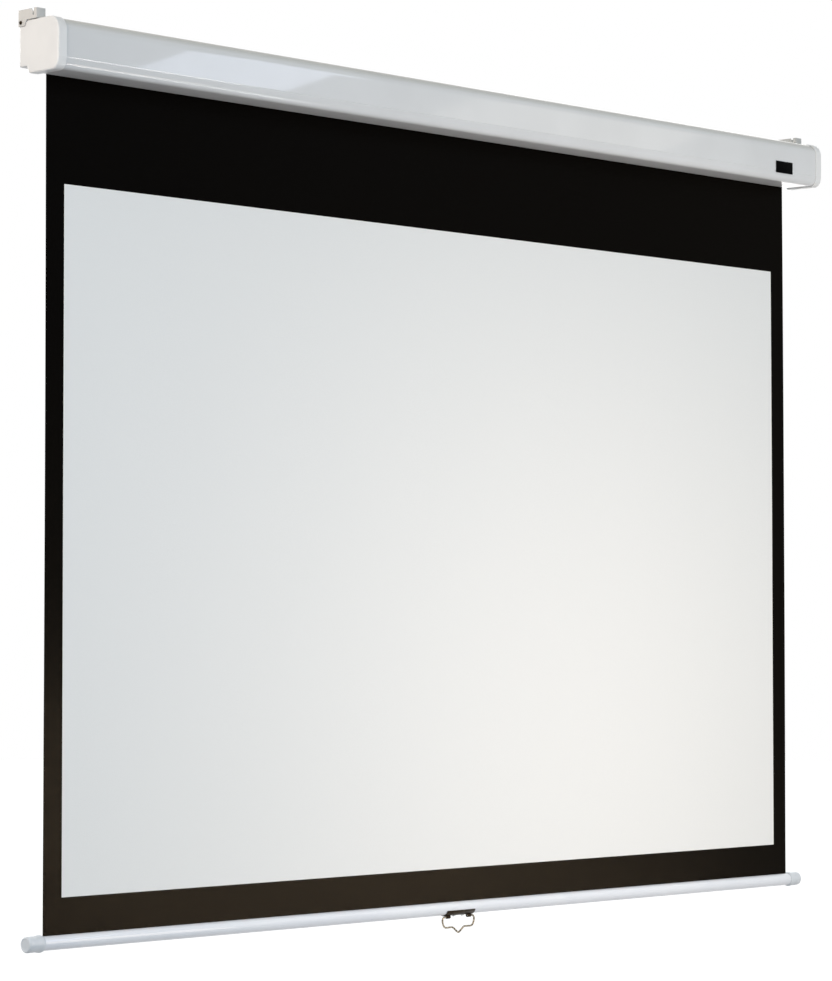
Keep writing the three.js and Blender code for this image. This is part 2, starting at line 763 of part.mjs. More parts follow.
function rollerTube() {
  return turnedX(
    [
      [-tubeEndX, tubeBore],
      [-tubeEndX, TUBE_RADIUS],
      [tubeEndX, TUBE_RADIUS],
      [tubeEndX, tubeBore],
      [-tubeEndX, tubeBore],
    ],
    rollerY,
    rollerZ,
  );
}

function clothWraps() {
  const steps = Math.round(WRAP_TURNS * WRAP_STEPS);
  const side = (depth) =>
    Array.from({ length: steps + 1 }, (_, i) => {
      const turn = (2 * Math.PI * WRAP_TURNS * i) / steps;
      const radius = wrapRadius - depth - (WRAP_PITCH * turn) / (2 * Math.PI);
      return [rollerY + radius * Math.cos(turn), rollerZ + radius * Math.sin(turn)];
    });
  return alongX([...side(0), ...side(CLOTH_THICKNESS).reverse()], -clothHalf, clothHalf);
}

piece("roller_tube", rollerTube(), aluminium, roller);
piece("cloth_on_roller", clothWraps(), clothBlack, roller);

function tubePlug(boreRadius, boreDepth, faceX) {
  const startX = tubeEndX - PLUG_LENGTH;
  const body = turnedX(
    [
      [startX, 0],
      [startX, tubeBore - GAP],
      [tubeEndX + GAP, tubeBore - GAP],
      [tubeEndX + GAP, TUBE_RADIUS],
      [plugFaceX, TUBE_RADIUS],
      [plugFaceX, 0],
    ],
    rollerY,
    rollerZ,
  );
  const bore = rodX(faceX - boreDepth, faceX + OVERRUN, boreRadius, rollerY, rollerZ);
  return { body, bore };
}

function idlerPlug() {
  const hubX = bushFlangeX - GAP;
  const { body, bore } = tubePlug(IDLER_PIN_RADIUS + GAP, hubX - tubeEndX + PLUG_LENGTH - CAP_WALL, hubX);
  const hub = rodX(tubeEndX, hubX, IDLER_PIN_RADIUS + GAP + HUB_WALL, rollerY, rollerZ);
  return cut(join(body, hub), bore);
}

leftPiece("idler_plug", idlerPlug(), nylon, roller);
leftPiece(
  "idler_pin",
  rodX(tubeEndX - PLUG_LENGTH + CAP_WALL + GAP, plateOuterX, IDLER_PIN_RADIUS, rollerY, rollerZ),
  zincSteel,
  roller,
);

// Spring end, on the right: the spindle, ratchet and anchor stand still while the carrier turns round them
const spindleEndX = plateInnerX - SPINDLE_REACH;
const spindleShoulderX = plateInnerX - TONGUE_SHOULDER;
const spindleBore = SPINDLE_RADIUS + GAP;
const springSeat = SPRING_RADIUS * Math.cos(Math.PI / SPRING_STEPS) - SPRING_WIRE / 2 - GAP;

piece(
  "bearing_plate_right",
  bearingPlate(
    box(
      plateInnerX - OVERRUN,
      plateOuterX + OVERRUN,
      rollerY - TONGUE_THICKNESS / 2 - GAP,
      rollerY + TONGUE_THICKNESS / 2 + GAP,
      rollerZ - TONGUE_WIDTH / 2 - GAP,
      rollerZ + TONGUE_WIDTH / 2 + GAP,
    ),
  ),
  zincSteel,
);

function spindle() {
  const rod = rodX(spindleEndX, spindleShoulderX, SPINDLE_RADIUS, rollerY, rollerZ);
  const tongue = box(
    spindleShoulderX - TONGUE_SHOULDER,
    plateOuterX,
    rollerY - TONGUE_THICKNESS / 2,
    rollerY + TONGUE_THICKNESS / 2,
    rollerZ - TONGUE_WIDTH / 2,
    rollerZ + TONGUE_WIDTH / 2,
  );
  return join(rod, tongue);
}

piece("spindle", spindle(), zincSteel);

function springAnchor() {
  const endX = spindleEndX + ANCHOR_LENGTH;
  return turnedX(
    [
      [spindleEndX, spindleBore],
      [spindleEndX, SPINDLE_RADIUS + ANCHOR_WALL],
      [endX, SPINDLE_RADIUS + ANCHOR_WALL],
      [endX, springSeat],
      [endX + SPIGOT_LENGTH, springSeat],
      [endX + SPIGOT_LENGTH, spindleBore],
      [spindleEndX, spindleBore],
    ],
    rollerY,
    rollerZ,
  );
}

piece("spring_anchor", springAnchor(), zincSteel);

class Helix extends THREE.Curve {
  constructor(x0, x1, radius, turns) {
    super();
    Object.assign(this, { x0, x1, radius, turns });
  }

  getPoint(share, target = new THREE.Vector3()) {
    const turn = 2 * Math.PI * this.turns * share;
    return target.set(
      THREE.MathUtils.lerp(this.x0, this.x1, share),
      rollerY + this.radius * Math.cos(turn),
      rollerZ + this.radius * Math.sin(turn),
    );
  }
}

function torsionSpring() {
  const startX = spindleEndX + ANCHOR_LENGTH + GAP + SPRING_WIRE / 2;
  const endX = tubeEndX - PLUG_LENGTH - GAP - SPRING_WIRE / 2;
  const section = new THREE.Shape(
    circle(SPRING_WIRE / 2, 0, 0, SPRING_SIDES).map(([a, b]) => new THREE.Vector2(a, b)),
  );
  return new THREE.ExtrudeGeometry(section, {
    steps: SPRING_TURNS * SPRING_STEPS,
    bevelEnabled: false,
    extrudePath: new Helix(startX, endX, SPRING_RADIUS, SPRING_TURNS),
  });
}

piece("torsion_spring", torsionSpring(), springSteel);

// Ratchet and pawls, drawn in Y and Z about the roller's axis with the pawl dropped into the notch
const notchFloor = RATCHET_RADIUS - RATCHET_NOTCH_DEPTH;
const noseHalf = PAWL_NOSE_WIDTH / 2;

function ratchetCollar() {
  const ring = turnedX(
    [
      [ratchetX, spindleBore],
      [ratchetX, RATCHET_RADIUS],
      [ratchetX + RATCHET_LENGTH, RATCHET_RADIUS],
      [ratchetX + RATCHET_LENGTH, spindleBore],
      [ratchetX, spindleBore],
    ],
    rollerY,
    rollerZ,
  );
  const steepY = -noseHalf - PAWL_NOSE_FLARE - GAP;
  const notch = [
    [steepY, RATCHET_RADIUS + OVERRUN],
    [steepY, notchFloor],
    [noseHalf + PAWL_NOSE_FLARE, notchFloor],
    [noseHalf + PAWL_NOSE_FLARE + RATCHET_NOTCH_DEPTH, RATCHET_RADIUS],
    [noseHalf + PAWL_NOSE_FLARE + RATCHET_NOTCH_DEPTH, RATCHET_RADIUS + OVERRUN],
  ];
  const notches = [1, -1].map((way) =>
    alongX(
      notch.map(([y, z]) => [rollerY + way * y, rollerZ + way * z]),
      ratchetX - OVERRUN,
      ratchetX + RATCHET_LENGTH + OVERRUN,
    ),
  );
  return cut(ring, ...notches);
}

piece("ratchet_collar", ratchetCollar(), springSteel);

const pawlPivots = [0, Math.PI].map((turn) => ({
  turn,
  y: rollerY + PAWL_PIVOT_RADIUS * Math.cos(turn + degrees(PAWL_PIVOT_DEGREES)),
  z: rollerZ + PAWL_PIVOT_RADIUS * Math.sin(turn + degrees(PAWL_PIVOT_DEGREES)),
}));

function pawlCarrier() {
  const spigotX = tubeEndX - PLUG_LENGTH - SPIGOT_LENGTH;
  const { body, bore } = tubePlug(spindleBore + GAP, plugFaceX - spigotX + OVERRUN, plugFaceX);
  const spigot = rodX(spigotX, tubeEndX, springSeat, rollerY, rollerZ);
  const pinHoles = pawlPivots.map(({ y, z }) =>
    rodX(plugFaceX - PAWL_PIN_DEPTH, plugFaceX + OVERRUN, PAWL_PIN_RADIUS + GAP, y, z, ROUND_SMALL),
  );
  return cut(join(body, spigot), bore, ...pinHoles);
}

piece("pawl_carrier", pawlCarrier(), zincSteel, roller);

// A pawl about its own pivot, in the notch; the nose points along -Y
function pawlSection() {
  const pivotY = PAWL_PIVOT_RADIUS * Math.cos(degrees(PAWL_PIVOT_DEGREES));
  const pivotZ = PAWL_PIVOT_RADIUS * Math.sin(degrees(PAWL_PIVOT_DEGREES));
  const armLow = RATCHET_RADIUS + PAWL_ARM_RISE;
  const tipZ = notchFloor + GAP;
  return [
    [-noseHalf, tipZ],
    [noseHalf, tipZ],
    [noseHalf + PAWL_NOSE_FLARE, armLow],
    [pivotY, pivotZ - PAWL_ARM / 2],
    [pivotY, pivotZ + PAWL_ARM],
    [-noseHalf - PAWL_NOSE_FLARE, armLow + PAWL_ARM],
    [-noseHalf - PAWL_NOSE_FLARE, armLow],
  ].map(([y, z]) => [y - pivotY, z - pivotZ]);
}

function pawl({ turn, y, z }) {
  const x0 = ratchetX;
  const x1 = ratchetX + PAWL_SHEET;
  const boss = rodX(x0, x1, PAWL_BOSS_RADIUS, 0, 0, ROUND_SMALL);
  const hole = rodX(x0 - OVERRUN, x1 + OVERRUN, PAWL_PIN_RADIUS + GAP, 0, 0, ROUND_SMALL);
  const made = cut(join(alongX(pawlSection(), x0, x1), boss), hole);
  return made.rotateX(turn - degrees(PAWL_LIFT_DEGREES)).translate(0, y, z);
}

pawlPivots.forEach((pivot, i) => {
  const word = i ? "lower" : "upper";
  const pinStart = plugFaceX - PAWL_PIN_DEPTH + GAP;
  const pinEnd = ratchetX + PAWL_SHEET + PAWL_PIN_PROUD;
  const pin = rodX(pinStart, pinEnd, PAWL_PIN_RADIUS, pivot.y, pivot.z, ROUND_SMALL);
  piece("pawl_pin_" + word, pin, zincSteel, roller);
  piece("pawl_" + word, pawl(pivot), springSteel, roller);
});

// Screen cloth: it hangs from the roller's rear, and its lower border goes with the weight bar
piece("screen_cloth", box(-clothHalf, clothHalf, clothFrontY, clothBackY, viewLowZ, rollerZ), clothBlack);
const viewHalf = VIEW_WIDTH / 2;
piece("viewing_coat", box(-viewHalf, viewHalf, coatFrontY, clothFrontY, viewLowZ, viewTopZ), coatWhite);

// Front plate, bare
function frontPlate() {
  const middleX = capFaceX - BADGE_INSET;
  const section = roundedPlate(
    middleX - BADGE_WIDTH / 2,
    middleX + BADGE_WIDTH / 2,
    -BADGE_DROP - BADGE_HEIGHT / 2,
    -BADGE_DROP + BADGE_HEIGHT / 2,
    BADGE_RADIUS,
  );
  return alongY(section, -CASE_DEPTH - GAP - BADGE_SHEET, -CASE_DEPTH - GAP);
}

piece("front_plate", frontPlate(), blackPlate);

// Weight bar: everything in this group slides together
const weightBar = new THREE.Group();
screen.add(weightBar);
const barBore = BAR_RADIUS - BAR_WALL;
const barCapFaceX = clothHalf + BAR_END;
const barTubeEndX = barCapFaceX - BAR_CAP_FACE - GAP;
const hemRadius = ROD_RADIUS + GAP + CLOTH_THICKNESS;
const slotEdgeZ = barZ + Math.sqrt(barBore ** 2 - (BAR_SLOT / 2) ** 2);
const hemZ = slotEdgeZ - Math.sqrt((hemRadius + GAP) ** 2 - (BAR_SLOT / 2) ** 2);
const saddleLowZ = barZ - BAR_RADIUS - GAP - SADDLE_SHEET;

function rivetPlaces() {
  return [-RIVET_SPREAD, RIVET_SPREAD];
}

// What is made straight under the bar leans round the bar's axis with the saddle
function leaned(geometry) {
  return geometry
    .translate(0, -clothY, -barZ)
    .rotateX(-degrees(SADDLE_LEAN_DEGREES))
    .translate(0, clothY, barZ);
}

function barTube() {
  const ring = turnedX(
    [
      [-barTubeEndX, barBore],
      [-barTubeEndX, BAR_RADIUS],
      [barTubeEndX, BAR_RADIUS],
      [barTubeEndX, barBore],
      [-barTubeEndX, barBore],
    ],
    clothY,
    barZ,
  );
  const slot = box(
    -barTubeEndX - OVERRUN,
    barTubeEndX + OVERRUN,
    clothY - BAR_SLOT / 2,
    clothY + BAR_SLOT / 2,
    barZ,
    barZ + BAR_RADIUS + OVERRUN,
  );
  const rivetHoles = rivetPlaces().map((x) =>
    leaned(rodZ(barZ - BAR_RADIUS - OVERRUN, barZ - barBore + OVERRUN, RIVET.shank + GAP, x, clothY)),
  );
  return cut(ring, slot, ...rivetHoles);
}

function barCap() {
  const sleeve = BAR_RADIUS + GAP + BAR_CAP_SKIN;
  const collar = sleeve + BAR_CAP_COLLAR;
  const startX = barCapFaceX - BAR_CAP_LENGTH;
  const collarX = startX + BAR_CAP_FLARE;
  const waistX = startX + BAR_CAP_WAIST;
  const rim = Array.from({ length: EDGE_STEPS + 1 }, (_, i) => {
    const turn = (Math.PI / 2) * (i / EDGE_STEPS);
    return [
      barCapFaceX - BAR_CAP_EDGE * (1 - Math.sin(turn)),
      sleeve - BAR_CAP_EDGE * (1 - Math.cos(turn)),
    ];
  });
  const dish = sleeve - BAR_CAP_EDGE - BAR_CAP_DISH;
  return turnedX(
    [
      [startX, BAR_RADIUS + GAP],
      [startX, sleeve],
      [collarX, collar],
      [collarX + BAR_CAP_COLLAR_LENGTH, collar],
      [waistX, sleeve - BAR_CAP_WAIST_DEPTH],
      [waistX + BAR_CAP_WAIST_STEP, sleeve],
      ...rim,
      [barCapFaceX - BAR_CAP_DISH, dish],
      [barCapFaceX - BAR_CAP_DISH, 0],
      [barCapFaceX - BAR_CAP_FACE, 0],
      [barCapFaceX - BAR_CAP_FACE, BAR_RADIUS + GAP],
      [startX, BAR_RADIUS + GAP],
    ],
    clothY,
    barZ,
  );
}

function lowerBorder() {
  const strip = box(-clothHalf, clothHalf, clothFrontY, clothBackY, hemZ + ROD_RADIUS + GAP, viewLowZ);
  const hem = turnedX(
    [
      [-clothHalf, ROD_RADIUS + GAP],
      [-clothHalf, hemRadius],
      [clothHalf, hemRadius],
      [clothHalf, ROD_RADIUS + GAP],
      [-clothHalf, ROD_RADIUS + GAP],
    ],
    clothY,
    hemZ,
    ROUND_SMALL,
  );
  return join(strip, hem);
}

piece("weight_bar_tube", barTube(), barPaint, weightBar);
sides.forEach(([word, side]) => {
  piece("weight_bar_cap_" + word, onSide(barCap(), side), barPaint, weightBar);
});
piece("lower_border", lowerBorder(), clothBlack, weightBar);
piece(
  "hem_rod",
  rodX(-clothHalf + ROD_SHORT, clothHalf - ROD_SHORT, ROD_RADIUS - GAP, clothY, hemZ, ROUND_SMALL),
  nylon,
  weightBar,
);

// Pull handle: a saddle under the bar whose knuckles hold the wire bail
const knuckleRadius = WIRE_RADIUS + GAP + KNUCKLE_WALL;
const knuckleZ = saddleLowZ + SADDLE_SHEET - knuckleRadius;
const pivotY = clothY - (barZ - knuckleZ) * Math.sin(degrees(SADDLE_LEAN_DEGREES));
const pivotZ = barZ - (barZ - knuckleZ) * Math.cos(degrees(SADDLE_LEAN_DEGREES));

function handleSaddle() {
  const inner = BAR_RADIUS + GAP;
  const arc = (radius) =>
    Array.from({ length: SADDLE_STEPS + 1 }, (_, i) => {
      const turn = degrees(SADDLE_SPREAD_DEGREES) * ((2 * i) / SADDLE_STEPS - 1) - Math.PI / 2;
      return [clothY + radius * Math.cos(turn), barZ + radius * Math.sin(turn)];
    });
  const plate = alongX(
    [...arc(inner), ...arc(inner + SADDLE_SHEET).reverse()],
    -SADDLE_HALF_LENGTH,
    SADDLE_HALF_LENGTH,
  );
  const knuckleEnds = [-1, 1].map((way) => [
    way * KNUCKLE_MIDDLE - KNUCKLE_LENGTH / 2,
    way * KNUCKLE_MIDDLE + KNUCKLE_LENGTH / 2,
  ]);
  const knuckles = knuckleEnds.map(([x0, x1]) =>
    rodX(x0, x1, knuckleRadius, clothY, knuckleZ, ROUND_SMALL),
  );
  const bores = knuckleEnds.map(([x0, x1]) =>
    rodX(x0 - OVERRUN, x1 + OVERRUN, WIRE_RADIUS + GAP, clothY, knuckleZ, ROUND_SMALL),
  );
  const rivetHoles = rivetPlaces().map((x) =>
    rodZ(saddleLowZ - OVERRUN, saddleLowZ + SADDLE_SHEET + OVERRUN, RIVET.shank + GAP, x, clothY),
  );
  return leaned(cut(join(plate, ...knuckles), ...bores, ...rivetHoles));
}

piece("handle_saddle", handleSaddle(), darkSteel, weightBar);
rivetPlaces().forEach((x, i) => {
  const rivet = fastener(RIVET, false).rotateY(-Math.PI / 2).translate(x, clothY, saddleLowZ - GAP);
  piece("handle_rivet_" + (i ? "right" : "left"), leaned(rivet), zincSteel, weightBar);
});

// The bail swings in the knuckles about an axis along X
function handleBail() {
  const endX = KNUCKLE_MIDDLE - KNUCKLE_LENGTH / 2 + BAIL_END_SHORT;
  const half = [
    [endX, 0],
    ...bailShares.map(([across, down]) => [across * BAIL_HALF_WIDTH, down * BAIL_DROP]),
  ];
  const wholePath = [...half, ...half.slice(0, -1).reverse().map(([x, down]) => [-x, down])];
  const path = new THREE.CatmullRomCurve3(
    wholePath.map(([x, down]) => new THREE.Vector3(x, pivotY, pivotZ - down)),
    false,
    "centripetal",
  );
  const section = new THREE.Shape(
    circle(WIRE_RADIUS, 0, 0, WIRE_SIDES).map(([a, b]) => new THREE.Vector2(a, b)),
  );
  return new THREE.ExtrudeGeometry(section, { steps: WIRE_STEPS, bevelEnabled: false, extrudePath: path });
}

piece("handle_bail", handleBail(), nickelWire, weightBar);

export default screen;
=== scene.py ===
import json
import math

import bmesh
import bpy
from mathutils import Matrix, Vector


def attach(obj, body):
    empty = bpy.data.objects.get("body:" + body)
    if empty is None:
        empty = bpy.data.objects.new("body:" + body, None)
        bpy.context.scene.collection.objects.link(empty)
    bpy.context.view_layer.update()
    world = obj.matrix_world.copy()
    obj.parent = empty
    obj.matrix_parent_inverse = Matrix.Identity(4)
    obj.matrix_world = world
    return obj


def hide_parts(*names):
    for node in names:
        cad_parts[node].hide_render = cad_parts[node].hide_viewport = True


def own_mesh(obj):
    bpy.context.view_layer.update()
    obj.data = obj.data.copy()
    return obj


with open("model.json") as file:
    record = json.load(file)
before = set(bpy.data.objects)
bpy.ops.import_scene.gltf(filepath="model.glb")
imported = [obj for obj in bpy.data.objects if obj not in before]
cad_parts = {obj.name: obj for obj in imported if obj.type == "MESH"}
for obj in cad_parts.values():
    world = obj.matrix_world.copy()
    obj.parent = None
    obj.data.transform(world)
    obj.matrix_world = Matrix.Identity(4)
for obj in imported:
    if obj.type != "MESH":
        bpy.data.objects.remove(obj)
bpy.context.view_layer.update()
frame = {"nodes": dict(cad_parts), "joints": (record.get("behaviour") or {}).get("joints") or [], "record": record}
MM = 0.001


def joint_place(name):
    return next(joint["pos_m"] for joint in frame["joints"] if joint["name"] == name)


# Camera
IMAGE_WIDTH = 832
IMAGE_HEIGHT = 981
FOCAL_PIXELS = 3322.24
SENSOR_MM = 36
CAMERA_PLACE = (-4.28612, -4.09660, -0.93060)
CAMERA_YAW = 0.79884  # from +Y towards +X
CAMERA_PITCH = 0.04268  # upwards
CAMERA_ROLL = -0.00075

# Clearances and least sizes
GAP = 0.3 * MM
LEAST_RADIUS = 0.3 * MM  # of a corner that was round before its edges moved
MERGE = 0.01 * MM  # vertices nearer than this are one

# Cloth
VIEW_WIDTH = 1810 * MM
VIEW_HEIGHT = 1131 * MM
SIDE_BORDER = 38 * MM
BOTTOM_BORDER = 58.5 * MM
VIEW_HALF = VIEW_WIDTH / 2
VIEW_TOP = -217 * MM
VIEW_LOW = VIEW_TOP - VIEW_HEIGHT
CLOTH_HALF = VIEW_HALF + SIDE_BORDER
CLOTH_Y = -24 * MM
CLOTH_THICKNESS = 0.4 * MM
COAT_THICKNESS = 0.2 * MM
SIDE_CURL = 1.1 * MM  # the side edges' lean towards the room
SIDE_CURL_WIDTH = 70 * MM
RIPPLE = 0.35 * MM
RIPPLE_LENGTH = 310 * MM
RIM_WIDTH = 1.4 * MM  # the coat's paler edge

# Case
CASE_DEPTH = 95 * MM
CASE_TOP = 35.4 * MM
CASE_FOOT = 35 * MM  # below the origin, as the next two
CASE_CREASE = 28 * MM
CASE_LOW = 46.8 * MM
CASE_RISE = 0.3 * MM  # of the underside, from its front to its rear lip
CASE_TUCK = 3.8 * MM  # the lower front leans back this much
CASE_SHEET = 1.2 * MM
CASE_TOP_RADIUS = 22 * MM
CASE_LOW_RADIUS = 13 * MM
CASE_REAR_RADIUS = 2.5 * MM
CASE_CREASE_RADIUS = 6 * MM
GROOVE_HEIGHT = 2.4 * MM  # the line under the crease
GROOVE_DEPTH = 0.7 * MM
GROOVE_RADIUS = 0.6 * MM
LIP_HEIGHT = 6 * MM
LIP_RADIUS = 1.5 * MM
SLOT_SIDE = 5 * MM  # from the cloth to the slot's lips

# End caps
CLOTH_TO_CAP_FACE = 35 * MM
CAP_FACE = CLOTH_HALF + CLOTH_TO_CAP_FACE
CAP_WALL = 4 * MM
CAP_SKIRT = 13.5 * MM
CAP_SKIN = 1.5 * MM
CAP_EDGE_RADIUS = 3 * MM
CAP_STEP_RUN = 4.4 * MM
CAP_STEP_RADIUS = 3 * MM
CAP_STEP_SHORT = 0.6 * MM
CAP_LIP = 0.7 * MM  # rounding of the skirt's free edge
CAP_GRIP = 0.05 * MM  # the gap left where the skirt grips the case

# Roller
_, ROLLER_Y, ROLLER_Z = joint_place("roller_spin")
WRAP_TURNS = 1.5
WRAP_PITCH = 0.7 * MM

# Weight bar
BAR_RADIUS = 11.5 * MM
BAR_WALL = 1.2 * MM
BAR_SLOT = 3 * MM
BAR_Z = VIEW_LOW - BOTTOM_BORDER - BAR_RADIUS
CLOTH_TO_BAR_CAP_FACE = 35 * MM
BAR_CAP_FACE = CLOTH_HALF + CLOTH_TO_BAR_CAP_FACE
BAR_CAP_LENGTH = 32 * MM
BAR_CAP_WALL = 3 * MM
BAR_CAP_SKIN = 1 * MM
BAR_CAP_COLLAR = 1.2 * MM
BAR_CAP_FLARE = 3.6 * MM
BAR_CAP_COLLAR_LENGTH = 2.4 * MM
BAR_CAP_WAIST = 16 * MM
BAR_CAP_WAIST_DEPTH = 0.5 * MM
BAR_CAP_WAIST_STEP = 1.2 * MM
BAR_CAP_EDGE = 3 * MM
BAR_CAP_DISH = 0.8 * MM
ROD_RADIUS = 3.2 * MM

# Handle
WIRE_RADIUS = 1.7 * MM
BAIL_HALF_WIDTH = 41 * MM
BAIL_DROP = 28.3 * MM
BAIL_END = 23.5 * MM
_, BAIL_Y, BAIL_Z = joint_place("handle_swing")
# The bail's right half: shares of its half width and of its drop
bail_shares = [
    (0.62, 0),
    (0.82, 0),
    (0.9, 0.015),
    (0.965, 0.1),
    (0.985, 0.25),
    (0.94, 0.48),
    (0.86, 0.62),
    (0.76, 0.66),
    (0.52, 0.655),
    (0.36, 0.67),
    (0.26, 0.75),
    (0.1, 0.93),
    (0, 1),
]

# Rounded edges of the small hard pieces
BRACKET_EDGE = 0.45 * MM
PLATE_EDGE = 0.25 * MM
SCREW_EDGE = 0.2 * MM
RIVET_EDGE = 0.25 * MM
SADDLE_EDGE = 0.35 * MM

# Mesh fineness
FILLET_STEPS = 14
EDGE_STEPS = 8
ROUND = 128
WRAP_STEPS = 60  # per turn
CLOTH_COLUMNS = 96
CLOTH_ROWS = 64
BORDER_COLUMNS = 8
WIRE_STEPS = 6  # between two points of the bail
WIRE_SIDES = 20
BEVEL_SEGMENTS = 2
BEVEL_PROFILE = 0.5
SMOOTH_ANGLE = math.radians(38)
SHARP_ANGLE = math.radians(28)
FLAT_ANGLE = math.radians(1)

# Noises of each kind of surface: cells per metre and detail, for its tint, its gloss and its grain
noises = {
    "paint": ((6, 3), (40, 3), (420, 2)),
    "foil": ((240, 4), (90, 3), (2200, 3)),
    "plastic": ((18, 3), (160, 3), (1900, 4)),
    "metal": ((130, 5), (700, 4), (1500, 3)),
    "cloth": ((900, 4), (60, 3)),
    "coat": ((1400, 4), (300, 3)),
}
NOISE_SPAN = (0.3, 0.7)  # of a noise, over which a value changes
TINT_SPAN = (0.35, 0.65)
LOOK_UP_SPAN = (0.35, 0.85)  # of a face's upward share, over which its colour changes to the painted shade above
WAVE_UNIT = math.pi / 10  # the pitch of a wave texture at scale 1
WEAVE_PITCH = 0.7 * MM
WEAVE_DEPTH = 0.03 * MM
WEAVE_WANDER = 0.4
COAT_GRAIN = 0.04 * MM
FOIL_GRAIN = 0.004 * MM
PLASTIC_GRAIN = 0.06 * MM
METAL_GRAIN = 0.02 * MM
RIM_COLOR = (0.90, 0.89, 0.85, 1)

# Stage
FLOOR_Z = -2.6
FLOOR_SIZE = 60
PAPER_COLOR = (0.34, 0.34, 0.35, 1)
PAPER_ROUGHNESS = 0.9
PAPER_GLOW = 0.85
WHITE = (1, 1, 1, 1)
ROOM_STRENGTH = 0.8
ROOM_LOW = (0.1, (0.87, 0.98, 0.98, 1))  # the upward share of a direction, and the light's colour there
ROOM_HIGH = (0.9, (0.50, 0.51, 0.51, 1))

# Lamps: places and sizes in metres, power in watts, turn in degrees about the lamp's own axis
lamps = {
    "front": {
        "place": (0.35, -1.5, -1.15),
        "target": (0.35, 0, -1.15),
        "size": (0.9, 0.9),
        "power": 13.2,
        "color": (1.0, 0.88, 0.78),
    },
    "sky": {
        "place": (-1.8, -2.4, -0.5),
        "target": (-0.8, 0, -0.5),
        "size": (1.2, 1.2),
        "power": 10,
        "color": (0.45, 0.68, 1.0),
    },
    "window_left": {
        "place": (1.52, -2.4, 0.55),
        "target": (-0.6, 0, 0),
        "size": (0.34, 1.2),
        "power": 8,
        "color": (0.75, 0.82, 1.0),
        "turn": -36,
    },
    "window_right": {
        "place": (2.58, -2.2, 0.5),
        "target": (0.22, 0, 0),
        "size": (0.58, 1.2),
        "power": 3.5,
        "color": (1.0, 0.92, 0.8),
        "turn": -36,
    },
    "side": {
        "place": (-3.4, -0.5, 0.5),
        "target": (-0.98, 0, 0),
        "size": (1.2, 1.2),
        "power": 50,
        "color": (1.0, 0.86, 0.76),
    },
    "far_side": {
        "place": (3.6, 1.6, 0.3),
        "target": (0.98, 0, -0.1),
        "size": (2.4, 2.4),
        "power": 26,
        "color": (1.0, 0.98, 0.95),
    },
    "behind": {
        "place": (0, 3.6, 0.4),
        "target": (0, 0, -0.5),
        "size": (2.4, 1.6),
        "power": 70,
        "color": (1.0, 0.98, 0.96),
    },
    "sheen": {
        "place": (2.05, -2.6, -1.9),
        "target": (0, 0, -1.2),
        "size": (0.45, 0.45),
        "power": 360,
        "color": (1.0, 0.74, 0.47),
    },
    "strip": {
        "place": (1.45, -2.0, -2.0),
        "target": (0, -0.09, -0.04),
        "size": (1.2, 0.25),
        "power": 13,
        "color": (1.0, 1.0, 1.0),
    },
}


def camera():
    data = bpy.data.cameras.new("camera")
    data.sensor_width = SENSOR_MM
    data.lens = FOCAL_PIXELS / max(IMAGE_WIDTH, IMAGE_HEIGHT) * SENSOR_MM
    made = bpy.data.objects.new("camera", data)
    bpy.context.scene.collection.objects.link(made)
    flat = math.cos(CAMERA_PITCH)
    ahead = Vector((math.sin(CAMERA_YAW) * flat, math.cos(CAMERA_YAW) * flat, math.sin(CAMERA_PITCH)))
    level = Vector((math.cos(CAMERA_YAW), -math.sin(CAMERA_YAW), 0))
    raised = level.cross(ahead)
    right = level * math.cos(CAMERA_ROLL) + raised * math.sin(CAMERA_ROLL)
    up = raised * math.cos(CAMERA_ROLL) - level * math.sin(CAMERA_ROLL)
    turn = Matrix((right, up, -ahead)).transposed()
    made.matrix_world = Matrix.Translation(CAMERA_PLACE) @ turn.to_4x4()
    bpy.context.scene.camera = made


# Sections: an outline is a list of corners (y, z, radius)
def rounded(before, corner, after):
    place = Vector(corner[:2])
    radius = corner[2]
    if not radius:
        return [tuple(place)]
    back = (Vector(before[:2]) - place).normalized()
    ahead = (Vector(after[:2]) - place).normalized()
    half = math.acos(max(-1, min(1, back.dot(ahead)))) / 2
    centre = place + (back + ahead).normalized() * (radius / math.sin(half))
    start = place + back * (radius / math.tan(half)) - centre
    side = 1 if back.y * ahead.x - back.x * ahead.y > 0 else -1
    sweep = side * (math.pi - 2 * half)
    points = []
    for turn in spread(0, sweep, FILLET_STEPS):
        cos, sin = math.cos(turn), math.sin(turn)
        points.append((centre.x + start.x * cos - start.y * sin, centre.y + start.x * sin + start.y * cos))
    return points


def closed_outline(corners):
    count = len(corners)
    points = []
    for i, corner in enumerate(corners):
        points += rounded(corners[i - 1], corner, corners[(i + 1) % count])
    return points


def open_outline(path):
    points = [path[0][:2]]
    for before, corner, after in zip(path, path[1:], path[2:]):
        points += rounded(before, corner, after)
    return points + [path[-1][:2]]


def edge_line(corner, after, by):
    way = (Vector(after[:2]) - Vector(corner[:2])).normalized()
    out = Vector((way.y, -way.x))
    return Vector(corner[:2]) + out * by, way


def crossing(first, second):
    (place_a, way_a), (place_b, way_b) = first, second
    side = way_a.x * way_b.y - way_a.y * way_b.x
    apart = place_b - place_a
    along = (apart.x * way_b.y - apart.y * way_b.x) / side
    return place_a + way_a * along, side


def outset(corners, distances):
    """Moves each edge of an outline out by its own distance."""
    count = len(corners)
    edges = [edge_line(corners[i], corners[(i + 1) % count], distances[i]) for i in range(count)]
    made = []
    for i, corner in enumerate(corners):
        place, side = crossing(edges[i - 1], edges[i])
        by = min(distances[i], distances[i - 1])
        radius = corner[2] + (by if side > 0 else -by)
        made.append((place.x, place.y, max(radius, LEAST_RADIUS)))
    return made


